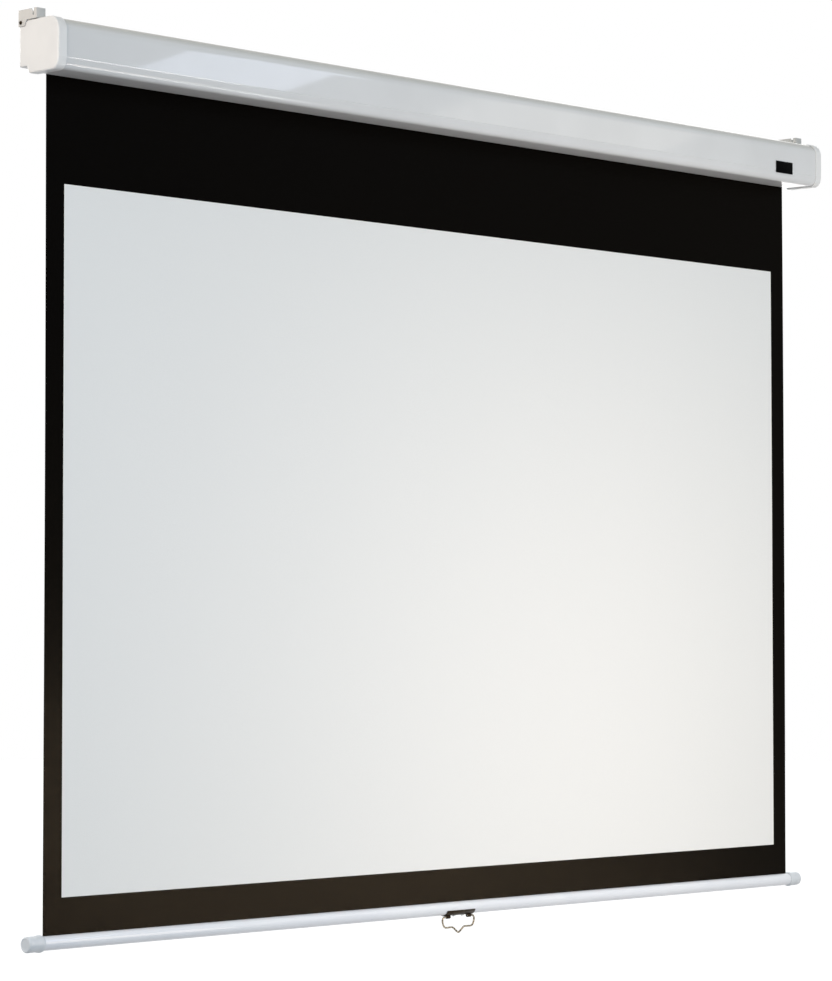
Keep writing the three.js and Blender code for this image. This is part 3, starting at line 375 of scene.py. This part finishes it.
def sheet_section(path, sheet):
    """The section of a bent sheet whose outer side follows a path."""
    inner = []
    last = len(path) - 1
    for i, corner in enumerate(path):
        ahead = edge_line(path[min(i, last - 1)], path[min(i + 1, last)], -sheet)
        if i == 0:
            inner.append((*ahead[0], 0))
        elif i == last:
            step = Vector(corner[:2]) - Vector(path[i - 1][:2])
            inner.append((*(ahead[0] + step), 0))
        else:
            place, _ = crossing(edge_line(path[i - 1], corner, -sheet), ahead)
            inner.append((*place, max(corner[2] - sheet, 0)))
    return open_outline(path) + open_outline(inner)[::-1]


def spread(low, high, count):
    return [low + (high - low) * i / count for i in range(count + 1)]


# Meshes
def finished(name, built, smooth=True):
    bmesh.ops.recalc_face_normals(built, faces=built.faces)
    mesh = bpy.data.meshes.new(name)
    built.to_mesh(mesh)
    built.free()
    if smooth:
        mesh.shade_smooth()
        mesh.set_sharp_from_angle(angle=SMOOTH_ANGLE)
    else:
        mesh.shade_flat()
    return mesh


def loft(name, sections):
    """A solid through sections (x, points) of equal point counts."""
    built = bmesh.new()
    rings = [[built.verts.new((x, y, z)) for y, z in points] for x, points in sections]
    for low, high in zip(rings, rings[1:]):
        for i in range(len(low)):
            built.faces.new((low[i - 1], low[i], high[i], high[i - 1]))
    built.faces.new(rings[0][::-1])
    built.faces.new(rings[-1])
    return finished(name, built)


def turned(name, profile, y, z):
    """Turns a closed profile of (x, radius) about an axis along X."""
    built = bmesh.new()
    turns = [2 * math.pi * i / ROUND for i in range(ROUND)]
    rings = []
    for x, radius in profile:
        places = [(x, y + radius * math.cos(turn), z + radius * math.sin(turn)) for turn in turns]
        rings.append([built.verts.new(place) for place in (places if radius else places[:1])])
    for first, second in zip(rings, rings[1:] + rings[:1]):
        if len(first) == len(second) == 1:
            continue
        for i in range(ROUND):
            after = (i + 1) % ROUND
            near = [first[i % len(first)], first[after % len(first)]]
            far = [second[after % len(second)], second[i % len(second)]]
            built.faces.new(list(dict.fromkeys(near + far)))
    return finished(name, built)


def softened(name, node, width):
    """A copy of a CAD node's mesh with its faces merged and its edges rounded."""
    built = bmesh.new()
    built.from_mesh(frame["nodes"][node].data)
    bmesh.ops.remove_doubles(built, verts=built.verts, dist=MERGE)
    bmesh.ops.dissolve_limit(built, angle_limit=FLAT_ANGLE, verts=built.verts, edges=built.edges)
    sharp = [e for e in built.edges if e.is_manifold and e.calc_face_angle() > SHARP_ANGLE]
    bmesh.ops.bevel(
        built,
        geom=sharp,
        offset=width,
        offset_type="OFFSET",
        segments=BEVEL_SEGMENTS,
        profile=BEVEL_PROFILE,
        affect="EDGES",
        clamp_overlap=True,
    )
    return finished(name, built)


def mirrored(mesh, name):
    made = mesh.copy()
    made.name = name
    made.transform(Matrix.Scale(-1, 4, Vector((1, 0, 0))))
    made.flip_normals()
    return made


# Materials
def shader(name, **plain):
    made = bpy.data.materials.new(name)
    made.use_nodes = True
    for socket, value in plain.items():
        surface_input(made, socket.replace("_", " ")).default_value = value
    return made


def surface_input(made, socket):
    return made.node_tree.nodes["Principled BSDF"].inputs[socket]


def add_node(made, kind, **settings):
    node = made.node_tree.nodes.new(kind)
    for name, value in settings.items():
        setattr(node, name, value)
    return node


def link(made, source, target):
    made.node_tree.links.new(source, target)


def places(made, stretch=(1, 1, 1)):
    coordinates = add_node(made, "ShaderNodeTexCoord")
    mapping = add_node(made, "ShaderNodeMapping")
    mapping.inputs["Scale"].default_value = stretch
    link(made, coordinates.outputs["Object"], mapping.inputs["Vector"])
    return mapping.outputs["Vector"]


def noise(made, scale, detail, stretch=(1, 1, 1)):
    node = add_node(made, "ShaderNodeTexNoise")
    node.inputs["Scale"].default_value = scale
    node.inputs["Detail"].default_value = detail
    link(made, places(made, stretch), node.inputs["Vector"])
    return node.outputs["Fac"]


def kind_noises(made, kind, stretch=(1, 1, 1)):
    return [noise(made, scale, detail, stretch) for scale, detail in noises[kind]]


def wave(made, pitch, direction):
    node = add_node(made, "ShaderNodeTexWave", bands_direction=direction)
    node.inputs["Scale"].default_value = WAVE_UNIT / pitch
    node.inputs["Distortion"].default_value = WEAVE_WANDER
    link(made, places(made), node.inputs["Vector"])
    return node.outputs["Fac"]


def ranged(made, source, low, high, span=NOISE_SPAN):
    node = add_node(made, "ShaderNodeMapRange")
    node.inputs["From Min"].default_value, node.inputs["From Max"].default_value = span
    node.inputs["To Min"].default_value = low
    node.inputs["To Max"].default_value = high
    link(made, source, node.inputs["Value"])
    return node.outputs["Result"]


def two_colors(made, source, *stops):
    """Turns a value into a colour between two stops (position, color)."""
    ramp = add_node(made, "ShaderNodeValToRGB")
    for element, (position, color) in zip(ramp.color_ramp.elements, stops):
        element.position = position
        element.color = color
    link(made, source, ramp.inputs["Fac"])
    return ramp.outputs["Color"]


def tinted(made, source, dark, pale):
    start, end = TINT_SPAN
    color = two_colors(made, source, (start, (*dark, 1)), (end, (*pale, 1)))
    link(made, color, surface_input(made, "Base Color"))
    return color


def roughened(made, source, low, high):
    link(made, ranged(made, source, low, high), surface_input(made, "Roughness"))


def bumped(made, height, distance):
    node = add_node(made, "ShaderNodeBump")
    node.inputs["Distance"].default_value = distance
    link(made, height, node.inputs["Height"])
    link(made, node.outputs["Normal"], surface_input(made, "Normal"))


def summed(made, first, second):
    node = add_node(made, "ShaderNodeMath", operation="ADD")
    link(made, first, node.inputs[0])
    link(made, second, node.inputs[1])
    return node.outputs[0]


def painted_shade_above(made, below, above):
    """Painted shade: turns the base colour to a darker one on faces that look up, for the weaker light from above.
    """
    surface = add_node(made, "ShaderNodeNewGeometry")
    split = add_node(made, "ShaderNodeSeparateXYZ")
    link(made, surface.outputs["Normal"], split.inputs["Vector"])
    mix = add_node(made, "ShaderNodeMix", data_type="RGBA")
    link(made, below, mix.inputs["A"])
    mix.inputs["B"].default_value = (*above, 1)
    link(made, ranged(made, split.outputs["Z"], 0, 1, LOOK_UP_SPAN), mix.inputs["Factor"])
    link(made, mix.outputs["Result"], surface_input(made, "Base Color"))


def gloss_paint(name, dark, pale, rough, peel, gloss=0.5, top=None):
    """Sprayed enamel: a faint orange peel, and a sheen that varies a little; a top colour, if given, is painted
    shade on faces that look up.
    """
    made = shader(name, Specular_IOR_Level=0.2, Coat_Weight=gloss, Coat_Roughness=0.04)
    tint, sheen, grain = kind_noises(made, "paint")
    color = tinted(made, tint, dark, pale)
    if top:
        painted_shade_above(made, color, top)
    roughened(made, sheen, *rough)
    bumped(made, grain, peel)
    return made


def flat_black(name, dark, pale, rough):
    """Printed black foil, nearly matte."""
    made = shader(name, Specular_IOR_Level=0.006)
    tint, sheen, grain = kind_noises(made, "foil")
    tinted(made, tint, dark, pale)
    roughened(made, sheen, *rough)
    bumped(made, grain, FOIL_GRAIN)
    return made


def moulded(name, dark, pale, rough):
    """Moulded plastic with a fine spark texture."""
    made = shader(name)
    tint, sheen, grain = kind_noises(made, "plastic")
    tinted(made, tint, dark, pale)
    roughened(made, sheen, *rough)
    bumped(made, grain, PLASTIC_GRAIN)
    return made


def plated(name, dark, pale, rough, stretch=(1, 1, 1)):
    """Plated or bare metal with drawn streaks and faint stains; on the handle's wire, whose dark and pale colours
    lie far apart, the patches are painted reflection and glint.
    """
    made = shader(name, Metallic=1)
    tint, sheen, grain = kind_noises(made, "metal", stretch)
    tinted(made, tint, dark, pale)
    roughened(made, sheen, *rough)
    bumped(made, grain, METAL_GRAIN)
    return made


def black_vinyl(name, dark, pale, rough):
    """Black matte vinyl on a woven base."""
    made = shader(name, Specular_IOR_Level=0.006)
    tint, sheen = kind_noises(made, "cloth")
    tinted(made, tint, dark, pale)
    roughened(made, sheen, *rough)
    weave = summed(made, wave(made, WEAVE_PITCH, "X"), wave(made, WEAVE_PITCH, "Z"))
    bumped(made, weave, WEAVE_DEPTH)
    return made


def white_coating(name, dark, pale, rough):
    """Matte white coat with a paler rim where the masking meets it."""
    made = shader(name, Specular_IOR_Level=0.25)
    fine, sheen = kind_noises(made, "coat")
    color = tinted(made, fine, dark, pale)
    rim = add_node(made, "ShaderNodeAttribute", attribute_name="rim")
    mix = add_node(made, "ShaderNodeMix", data_type="RGBA")
    link(made, rim.outputs["Fac"], mix.inputs["Factor"])
    link(made, color, mix.inputs["A"])
    mix.inputs["B"].default_value = RIM_COLOR
    link(made, mix.outputs["Result"], surface_input(made, "Base Color"))
    roughened(made, sheen, *rough)
    bumped(made, fine, COAT_GRAIN)
    return made


# Each slot's surface: its darker and paler colour and its least and most roughness
looks = {
    "case_paint": {
        "make": gloss_paint,
        "dark": (0.605, 0.61, 0.615),
        "pale": (0.635, 0.64, 0.645),
        "rough": (0.3, 0.38),
        "peel": 0.002 * MM,
        # painted shade: the top round is browner and darker, for the weaker light from above
        "top": (0.43, 0.42, 0.38),
    },
    "cap_plastic": {
        "make": moulded,
        "dark": (0.67, 0.67, 0.67),
        "pale": (0.71, 0.71, 0.705),
        "rough": (0.34, 0.44),
    },
    # the brackets' white paint, set darker than the case's: partly painted shade, for their shaded side walls
    "bracket_paint": {
        "make": gloss_paint,
        "dark": (0.52, 0.51, 0.49),
        "pale": (0.58, 0.57, 0.55),
        "rough": (0.35, 0.43),
        "peel": 0.01 * MM,
        "gloss": 0.3,
    },
    "masking_cloth": {
        "make": black_vinyl,
        "dark": (0.0006, 0.0006, 0.0006),
        "pale": (0.0012, 0.0012, 0.0012),
        "rough": (0.20, 0.22),
    },
    "viewing_coat": {
        "make": white_coating,
        "dark": (0.795, 0.800, 0.795),
        "pale": (0.830, 0.835, 0.830),
        "rough": (0.75, 0.9),
    },
    "bar_paint": {
        "make": gloss_paint,
        "dark": (0.71, 0.74, 0.80),
        "pale": (0.75, 0.78, 0.83),
        "rough": (0.3, 0.38),
        "peel": 0.002 * MM,
    },
    "bar_cap_plastic": {
        "make": moulded,
        "dark": (0.58, 0.62, 0.67),
        "pale": (0.63, 0.67, 0.71),
        "rough": (0.3, 0.4),
    },
    "zinc_steel": {
        "make": plated,
        "dark": (0.48, 0.49, 0.50),
        "pale": (0.62, 0.62, 0.60),
        "rough": (0.28, 0.43),
    },
    "spring_steel": {
        "make": plated,
        "dark": (0.22, 0.23, 0.25),
        "pale": (0.34, 0.34, 0.35),
        "rough": (0.25, 0.4),
    },
    "bronzed_steel": {
        "make": plated,
        "dark": (0.016, 0.010, 0.005),
        "pale": (0.038, 0.026, 0.015),
        "rough": (0.3, 0.45),
    },
    # painted reflection: the wire's tint swings in patches from near black to cream, standing in for the dark
    # reflections and bright glints of a polished wire
    "nickel_wire": {
        "make": plated,
        "dark": (0.03, 0.022, 0.014),
        "pale": (0.46, 0.40, 0.31),
        "rough": (0.12, 0.27),
        "stretch": (3, 1, 3),
    },
    "nylon": {
        "make": moulded,
        "dark": (0.74, 0.71, 0.62),
        "pale": (0.80, 0.77, 0.69),
        "rough": (0.4, 0.5),
    },
    "black_plate": {
        "make": flat_black,
        "dark": (0.0016, 0.0016, 0.0018),
        "pale": (0.0034, 0.0034, 0.0038),
        "rough": (0.3, 0.4),
    },
    "roller_aluminium": {
        "make": plated,
        "dark": (0.56, 0.57, 0.58),
        "pale": (0.68, 0.68, 0.69),
        "rough": (0.3, 0.45),
        "stretch": (0.2, 4, 4),
    },
}


def made_material(slot, make, **look):
    return make(slot, **look)


materials = {slot: made_material(slot, **look) for slot, look in looks.items()}


def made_piece(name, mesh, slot, body, *nodes):
    made = bpy.data.objects.new(name, mesh)
    bpy.context.scene.collection.objects.link(made)
    mesh.materials.append(materials[slot])
    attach(made, body)
    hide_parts(*nodes)
    return made


# Case
def case_corners():
    lip_y = CLOTH_Y - SLOT_SIDE
    flange_y = CLOTH_Y + SLOT_SIDE
    rise = CASE_RISE / (CASE_DEPTH - CASE_TUCK + lip_y)
    floor_end_y = flange_y - CAP_STEP_SHORT - CAP_STEP_RUN
    low_front = (-CASE_DEPTH + CASE_TUCK, -CASE_LOW, CASE_LOW_RADIUS)
    return {
        "flange": (flange_y, -CASE_FOOT, 0),
        "rear_foot": (0, -CASE_FOOT, CASE_REAR_RADIUS),
        "rear_top": (0, CASE_TOP, CASE_REAR_RADIUS),
        "front_top": (-CASE_DEPTH, CASE_TOP, CASE_TOP_RADIUS),
        "crease": (-CASE_DEPTH, -CASE_CREASE, CASE_CREASE_RADIUS),
        "low_front": low_front,
        "lip": (lip_y, -CASE_LOW + CASE_RISE, LIP_RADIUS),
        "lip_top": (lip_y, -CASE_LOW + CASE_RISE + LIP_HEIGHT, 0),
        "floor_end": (floor_end_y, -CASE_LOW + rise * (floor_end_y - low_front[0]), CAP_STEP_RADIUS),
        "step_top": (flange_y - CAP_STEP_SHORT, -CASE_FOOT, CAP_STEP_RADIUS),
    }


case = case_corners()


def case_groove():
    """The line under the crease, pressed into the front of the case."""
    crease_y, crease_z, _ = case["crease"]
    low_y, low_z, _ = case["low_front"]
    band_z = crease_z - GROOVE_HEIGHT
    band_y = crease_y + (low_y - crease_y) * GROOVE_HEIGHT / (crease_z - low_z)
    return [
        (crease_y, crease_z, GROOVE_RADIUS),
        (crease_y + GROOVE_DEPTH, (crease_z + band_z) / 2, GROOVE_RADIUS),
        (band_y, band_z, GROOVE_RADIUS),
    ]


def case_housing():
    above = [case[name] for name in ("flange", "rear_foot", "rear_top", "front_top")]
    below = [case[name] for name in ("low_front", "lip", "lip_top")]
    section = sheet_section(above + case_groove() + below, CASE_SHEET)
    end = CAP_FACE - CAP_WALL - GAP
    mesh = loft("case_shell", [(-end, section), (end, section)])
    return made_piece("case_shell", mesh, "case_paint", "case", "case_housing")


def cap_outline(distance, rear):
    """The case's outline, let out by a distance and at its back by another."""
    names = ["rear_foot", "rear_top", "front_top", "crease", "low_front", "floor_end", "step_top"]
    corners = [case[name] for name in names]
    return closed_outline(outset(corners, [rear] + [distance] * (len(corners) - 1)))


def quarter_round(radius):
    """Steps of a rounded edge: how far in across the wall, and how far out along it."""
    turns = spread(0, math.pi / 2, EDGE_STEPS)
    return [(radius * (1 - math.cos(turn)), radius * math.sin(turn)) for turn in turns]


def end_caps():
    offset = GAP + CAP_SKIN
    wall_x = CAP_FACE - CAP_WALL
    skirt_x = wall_x - CAP_SKIRT
    edge_x = CAP_FACE - CAP_EDGE_RADIUS
    sections = [(wall_x, cap_outline(GAP, 0)), (skirt_x, cap_outline(CAP_GRIP, 0))]
    for across, along in reversed(quarter_round(CAP_LIP)):
        sections.append((skirt_x + CAP_LIP - along, cap_outline(offset - across, 0)))
    for across, along in quarter_round(CAP_EDGE_RADIUS):
        sections.append((edge_x + along, cap_outline(offset - across, -across)))
    right = loft("cap_shell_right", sections)
    left = mirrored(right, "cap_shell_left")
    return [
        made_piece("cap_shell_right", right, "cap_plastic", "case", "end_cap_right"),
        made_piece("cap_shell_left", left, "cap_plastic", "case", "end_cap_left"),
    ]


# Cloth
def lean(x, z):
    """How far the hanging cloth stands off its plane: not at all at the roller and the bar."""
    share = (ROLLER_Z - z) / (ROLLER_Z - VIEW_LOW)
    held = math.sin(math.pi * min(max(share, 0), 1))
    inward = max(0, abs(x) - CLOTH_HALF + SIDE_CURL_WIDTH) / SIDE_CURL_WIDTH
    ripple = math.sin(2 * math.pi * x / RIPPLE_LENGTH) * math.cos(math.pi * z / RIPPLE_LENGTH / 2)
    return -held * (SIDE_CURL * inward**2 + RIPPLE * ripple)


def hung_sheet(name, columns, rows, front, back):
    """A closed thin sheet through a grid of places, front and back at their own depths."""
    built = bmesh.new()
    layers = [
        [[built.verts.new((x, depth + lean(x, z), z)) for x in columns] for z in rows]
        for depth in (front, back)
    ]
    for layer in layers:
        for low, high in zip(layer, layer[1:]):
            for i in range(len(columns) - 1):
                built.faces.new((low[i], low[i + 1], high[i + 1], high[i]))
    front_layer, back_layer = layers
    edges = [
        ([row[0] for row in front_layer], [row[0] for row in back_layer]),
        ([row[-1] for row in front_layer], [row[-1] for row in back_layer]),
        (front_layer[0], back_layer[0]),
        (front_layer[-1], back_layer[-1]),
    ]
    for near, far in edges:
        for i in range(len(near) - 1):
            built.faces.new((near[i], near[i + 1], far[i + 1], far[i]))
    return finished(name, built)


def mark_rim(mesh):
    """Marks the vertices on the coat's outer edge, for its material."""
    layer = mesh.attributes.new("rim", "FLOAT", "POINT")
    for vertex in mesh.vertices:
        x, _, z = vertex.co
        inside = min(VIEW_HALF - abs(x), VIEW_TOP - z, z - VIEW_LOW)
        layer.data[vertex.index].value = 1 if inside < RIM_WIDTH / 2 else 0


def hung_cloth():
    front = CLOTH_Y - CLOTH_THICKNESS / 2
    back = CLOTH_Y + CLOTH_THICKNESS / 2
    columns = spread(-CLOTH_HALF, CLOTH_HALF, CLOTH_COLUMNS)
    mesh = hung_sheet("upper_cloth", columns, spread(VIEW_LOW, ROLLER_Z, CLOTH_ROWS), front, back)
    cloth = made_piece("upper_cloth", mesh, "masking_cloth", "case", "screen_cloth")
    inner = spread(-VIEW_HALF + RIM_WIDTH, VIEW_HALF - RIM_WIDTH, CLOTH_COLUMNS)
    columns = [-VIEW_HALF, *inner, VIEW_HALF]
    rows = [VIEW_LOW, *spread(VIEW_LOW + RIM_WIDTH, VIEW_TOP - RIM_WIDTH, CLOTH_ROWS), VIEW_TOP]
    mesh = hung_sheet("white_coat", columns, rows, front - COAT_THICKNESS, front)
    mark_rim(mesh)
    coat = made_piece("white_coat", mesh, "viewing_coat", "case", "viewing_coat")
    for piece in (cloth, coat):
        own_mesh(piece)
    return cloth, coat


def wound_cloth():
    outer = -ROLLER_Y + CLOTH_Y - CLOTH_THICKNESS / 2 - COAT_THICKNESS - GAP
    turns = spread(0, 2 * math.pi * WRAP_TURNS, round(WRAP_TURNS * WRAP_STEPS))
    sides = []
    for depth in (0, CLOTH_THICKNESS):
        side = []
        for turn in turns:
            radius = outer - depth - WRAP_PITCH * turn / (2 * math.pi)
            side.append((ROLLER_Y + radius * math.cos(turn), ROLLER_Z + radius * math.sin(turn)))
        sides.append(side)
    section = sides[0] + sides[1][::-1]
    mesh = loft("wound_cloth", [(x, section) for x in (-CLOTH_HALF, CLOTH_HALF)])
    return made_piece("wound_cloth", mesh, "masking_cloth", "roller", "cloth_on_roller")


def hem_centre():
    """The rod's height, at which the hem hangs in the bar's slot."""
    bore = BAR_RADIUS - BAR_WALL
    slot_z = BAR_Z + math.sqrt(bore**2 - (BAR_SLOT / 2) ** 2)
    reach = ROD_RADIUS + CLOTH_THICKNESS + 2 * GAP
    return slot_z - math.sqrt(reach**2 - (BAR_SLOT / 2) ** 2)


def slotted_ring(radius, centre_z, slot):
    """Points round an axis under the cloth, from one side of a slot at the top to the other."""
    start = math.asin(slot / 2 / radius)
    turns = spread(start, 2 * math.pi - start, ROUND)
    return [(CLOTH_Y + radius * math.sin(turn), centre_z + radius * math.cos(turn)) for turn in turns]


def border_cloth():
    half = CLOTH_THICKNESS / 2
    hem = slotted_ring(ROD_RADIUS + GAP + CLOTH_THICKNESS, hem_centre(), CLOTH_THICKNESS)
    section = [(CLOTH_Y - half, VIEW_LOW), (CLOTH_Y + half, VIEW_LOW), *hem]
    mesh = loft("border_cloth", [(x, section) for x in spread(-CLOTH_HALF, CLOTH_HALF, BORDER_COLUMNS)])
    return made_piece("border_cloth", mesh, "masking_cloth", "weight_bar", "lower_border")


# Weight bar
def bar_tube():
    end = BAR_CAP_FACE - BAR_CAP_WALL - GAP
    outside = slotted_ring(BAR_RADIUS, BAR_Z, BAR_SLOT)
    inside = slotted_ring(BAR_RADIUS - BAR_WALL, BAR_Z, BAR_SLOT)
    section = outside + inside[::-1]
    mesh = loft("bar_shell", [(-end, section), (end, section)])
    made_piece("bar_shell", mesh, "bar_paint", "weight_bar", "weight_bar_tube")


def bar_caps():
    sleeve = BAR_RADIUS + GAP + BAR_CAP_SKIN
    collar = sleeve + BAR_CAP_COLLAR
    start = BAR_CAP_FACE - BAR_CAP_LENGTH
    collar_x = start + BAR_CAP_FLARE
    waist_x = start + BAR_CAP_WAIST
    rim_x = BAR_CAP_FACE - BAR_CAP_EDGE
    rim = [(rim_x + along, sleeve - across) for across, along in quarter_round(BAR_CAP_EDGE)]
    profile = [
        (start, BAR_RADIUS + GAP),
        (start, sleeve),
        (collar_x, collar),
        (collar_x + BAR_CAP_COLLAR_LENGTH, collar),
        (waist_x, sleeve - BAR_CAP_WAIST_DEPTH),
        (waist_x + BAR_CAP_WAIST_STEP, sleeve),
        *rim,
        (BAR_CAP_FACE - BAR_CAP_DISH, sleeve - BAR_CAP_EDGE - BAR_CAP_DISH),
        (BAR_CAP_FACE - BAR_CAP_DISH, 0),
        (BAR_CAP_FACE - BAR_CAP_WALL, 0),
        (BAR_CAP_FACE - BAR_CAP_WALL, BAR_RADIUS + GAP),
    ]
    right = turned("bar_cap_right", profile, CLOTH_Y, BAR_Z)
    left = mirrored(right, "bar_cap_left")
    made_piece("bar_cap_right", right, "bar_cap_plastic", "weight_bar", "weight_bar_cap_right")
    made_piece("bar_cap_left", left, "bar_cap_plastic", "weight_bar", "weight_bar_cap_left")


# Handle
def between(first, second, start, end, time):
    """What lies between two values at a time, with the first at the start and the second at the end."""
    return first * ((end - time) / (end - start)) + second * ((time - start) / (end - start))


def smooth_line(points, steps):
    """A centripetal Catmull-Rom line through points."""
    ends = [points[0] * 2 - points[1], *points, points[-1] * 2 - points[-2]]
    made = []
    for four in zip(ends, ends[1:], ends[2:], ends[3:]):
        times = [0]
        for first, second in zip(four, four[1:]):
            times.append(times[-1] + math.sqrt((second - first).length))
        for time in spread(times[1], times[2], steps)[:-1]:
            low = [between(four[k], four[k + 1], times[k], times[k + 1], time) for k in (0, 1, 2)]
            mid = [between(low[k], low[k + 1], times[k], times[k + 2], time) for k in (0, 1)]
            made.append(between(mid[0], mid[1], times[1], times[2], time))
    return made + [points[-1]]


def wire(name, points, radius):
    """A round wire in a plane across Y, with flat ends."""
    built = bmesh.new()
    rings = []
    last = len(points) - 1
    turns = [2 * math.pi * i / WIRE_SIDES for i in range(WIRE_SIDES)]
    for i, point in enumerate(points):
        way = (points[min(i + 1, last)] - points[max(i - 1, 0)]).normalized()
        across = way.cross(Vector((0, 1, 0)))
        spokes = [across * math.cos(turn) + Vector((0, math.sin(turn), 0)) for turn in turns]
        rings.append([built.verts.new(point + radius * spoke) for spoke in spokes])
    for low, high in zip(rings, rings[1:]):
        for i in range(WIRE_SIDES):
            built.faces.new((low[i - 1], low[i], high[i], high[i - 1]))
    built.faces.new(rings[0])
    built.faces.new(rings[-1][::-1])
    return finished(name, built)


def handle():
    half = [(BAIL_END, 0)] + [(across * BAIL_HALF_WIDTH, down * BAIL_DROP) for across, down in bail_shares]
    whole = half + [(-x, down) for x, down in half[-2::-1]]
    points = smooth_line([Vector((x, BAIL_Y, BAIL_Z - down)) for x, down in whole], WIRE_STEPS)
    made_piece("bail_wire", wire("bail_wire", points, WIRE_RADIUS), "nickel_wire", "handle", "handle_bail")
    mesh = softened("saddle_plate", "handle_saddle", SADDLE_EDGE)
    made_piece("saddle_plate", mesh, "bronzed_steel", "weight_bar", "handle_saddle")


# Small hard pieces: the CAD solid with its edges rounded
soft_edges = {
    "hanging_bracket_left": ("bracket_left", "bracket_paint", "case", BRACKET_EDGE),
    "hanging_bracket_right": ("bracket_right", "bracket_paint", "case", BRACKET_EDGE),
    "front_plate": ("badge_plate", "black_plate", "case", PLATE_EDGE),
    "bracket_side_screw_left": ("side_screw_left", "bronzed_steel", "case", SCREW_EDGE),
    "bracket_side_screw_right": ("side_screw_right", "bronzed_steel", "case", SCREW_EDGE),
    "bracket_floor_screw_left": ("floor_screw_left", "zinc_steel", "case", SCREW_EDGE),
    "bracket_floor_screw_right": ("floor_screw_right", "zinc_steel", "case", SCREW_EDGE),
    "handle_rivet_left": ("rivet_left", "zinc_steel", "weight_bar", RIVET_EDGE),
    "handle_rivet_right": ("rivet_right", "zinc_steel", "weight_bar", RIVET_EDGE),
}


def small_pieces():
    for node, (name, slot, body, width) in soft_edges.items():
        made_piece(name, softened(name, node, width), slot, body, node)


# CAD nodes that stay: each takes its slot's material
def dress_kept_nodes():
    for entry in frame["record"]["subparts"]:
        mesh = frame["nodes"][entry["node"]].data
        mesh.materials.clear()
        mesh.materials.append(materials[entry["material_slot"]])


# Stage
def background_rays(made):
    """1 where the camera, a mirror or glass looks at the background."""
    path = add_node(made, "ShaderNodeLightPath")
    seen = path.outputs["Is Camera Ray"]
    for kind in ("Is Glossy Ray", "Is Transmission Ray"):
        either = add_node(made, "ShaderNodeMath", operation="MAXIMUM")
        link(made, seen, either.inputs[0])
        link(made, path.outputs[kind], either.inputs[1])
        seen = either.outputs[0]
    return seen


def mixed_shader(made, factor, first, second):
    mix = add_node(made, "ShaderNodeMixShader")
    link(made, factor, mix.inputs["Fac"])
    link(made, first, mix.inputs[1])
    link(made, second, mix.inputs[2])
    return mix.outputs["Shader"]


def floor():
    built = bmesh.new()
    half = FLOOR_SIZE / 2
    corners = ((-half, -half), (half, -half), (half, half), (-half, half))
    built.faces.new([built.verts.new((x, y, FLOOR_Z)) for x, y in corners])
    made = bpy.data.objects.new("floor", finished("floor", built, smooth=False))
    bpy.context.scene.collection.objects.link(made)
    made.data.materials.append(floor_paper())


def floor_paper():
    """Pale paper that the camera and mirrors see as white, with the object's shadow on it."""
    paper = shader("floor_paper", Base_Color=PAPER_COLOR, Roughness=PAPER_ROUGHNESS)
    surface = paper.node_tree.nodes["Principled BSDF"].outputs["BSDF"]
    glow = add_node(paper, "ShaderNodeEmission")
    glow.inputs["Strength"].default_value = PAPER_GLOW
    both = add_node(paper, "ShaderNodeAddShader")
    link(paper, surface, both.inputs[0])
    link(paper, glow.outputs["Emission"], both.inputs[1])
    mix = mixed_shader(paper, background_rays(paper), surface, both.outputs["Shader"])
    link(paper, mix, paper.node_tree.nodes["Material Output"].inputs["Surface"])
    return paper


def world_light():
    """Soft light that is brighter from below, behind which the background is white."""
    world = bpy.data.worlds.new("room")
    bpy.context.scene.world = world
    world.use_nodes = True
    world.node_tree.nodes.clear()
    soft = add_node(world, "ShaderNodeBackground")
    soft.inputs["Strength"].default_value = ROOM_STRENGTH
    direction = add_node(world, "ShaderNodeTexCoord")
    split = add_node(world, "ShaderNodeSeparateXYZ")
    link(world, direction.outputs["Generated"], split.inputs["Vector"])
    link(world, two_colors(world, split.outputs["Z"], ROOM_LOW, ROOM_HIGH), soft.inputs["Color"])
    white = add_node(world, "ShaderNodeBackground")
    white.inputs["Color"].default_value = WHITE
    seen = background_rays(world)
    mix = mixed_shader(world, seen, soft.outputs["Background"], white.outputs["Background"])
    output = add_node(world, "ShaderNodeOutputWorld")
    link(world, mix, output.inputs["Surface"])


def lamp(name, place, target, size, power, color, turn=0):
    data = bpy.data.lights.new(name, "AREA")
    data.shape = "RECTANGLE"
    data.size, data.size_y = size
    data.energy = power
    data.color = color
    made = bpy.data.objects.new(name, data)
    bpy.context.scene.collection.objects.link(made)
    way = (Vector(target) - Vector(place)).to_track_quat("-Z", "Y").to_matrix().to_4x4()
    made.matrix_world = Matrix.Translation(place) @ way @ Matrix.Rotation(math.radians(turn), 4, "Z")
    made.visible_camera = False
    return made


def only_on(light, name, *lit):
    """Lets a lamp light these pieces and nothing else."""
    kept = bpy.data.collections.new(name)
    for piece in lit:
        kept.objects.link(piece)
    light.light_linking.receiver_collection = kept


camera()
housing = case_housing()
caps = end_caps()
cloth, coat = hung_cloth()
wound = wound_cloth()
border = border_cloth()
bar_tube()
bar_caps()
handle()
small_pieces()
dress_kept_nodes()
floor()
world_light()
lights = {name: lamp(name, **settings) for name, settings in lamps.items()}
only_on(lights["sheen"], "sheen", cloth, border)
only_on(lights["strip"], "strip", housing, *caps)
bpy.context.scene.view_settings.view_transform = "Standard"
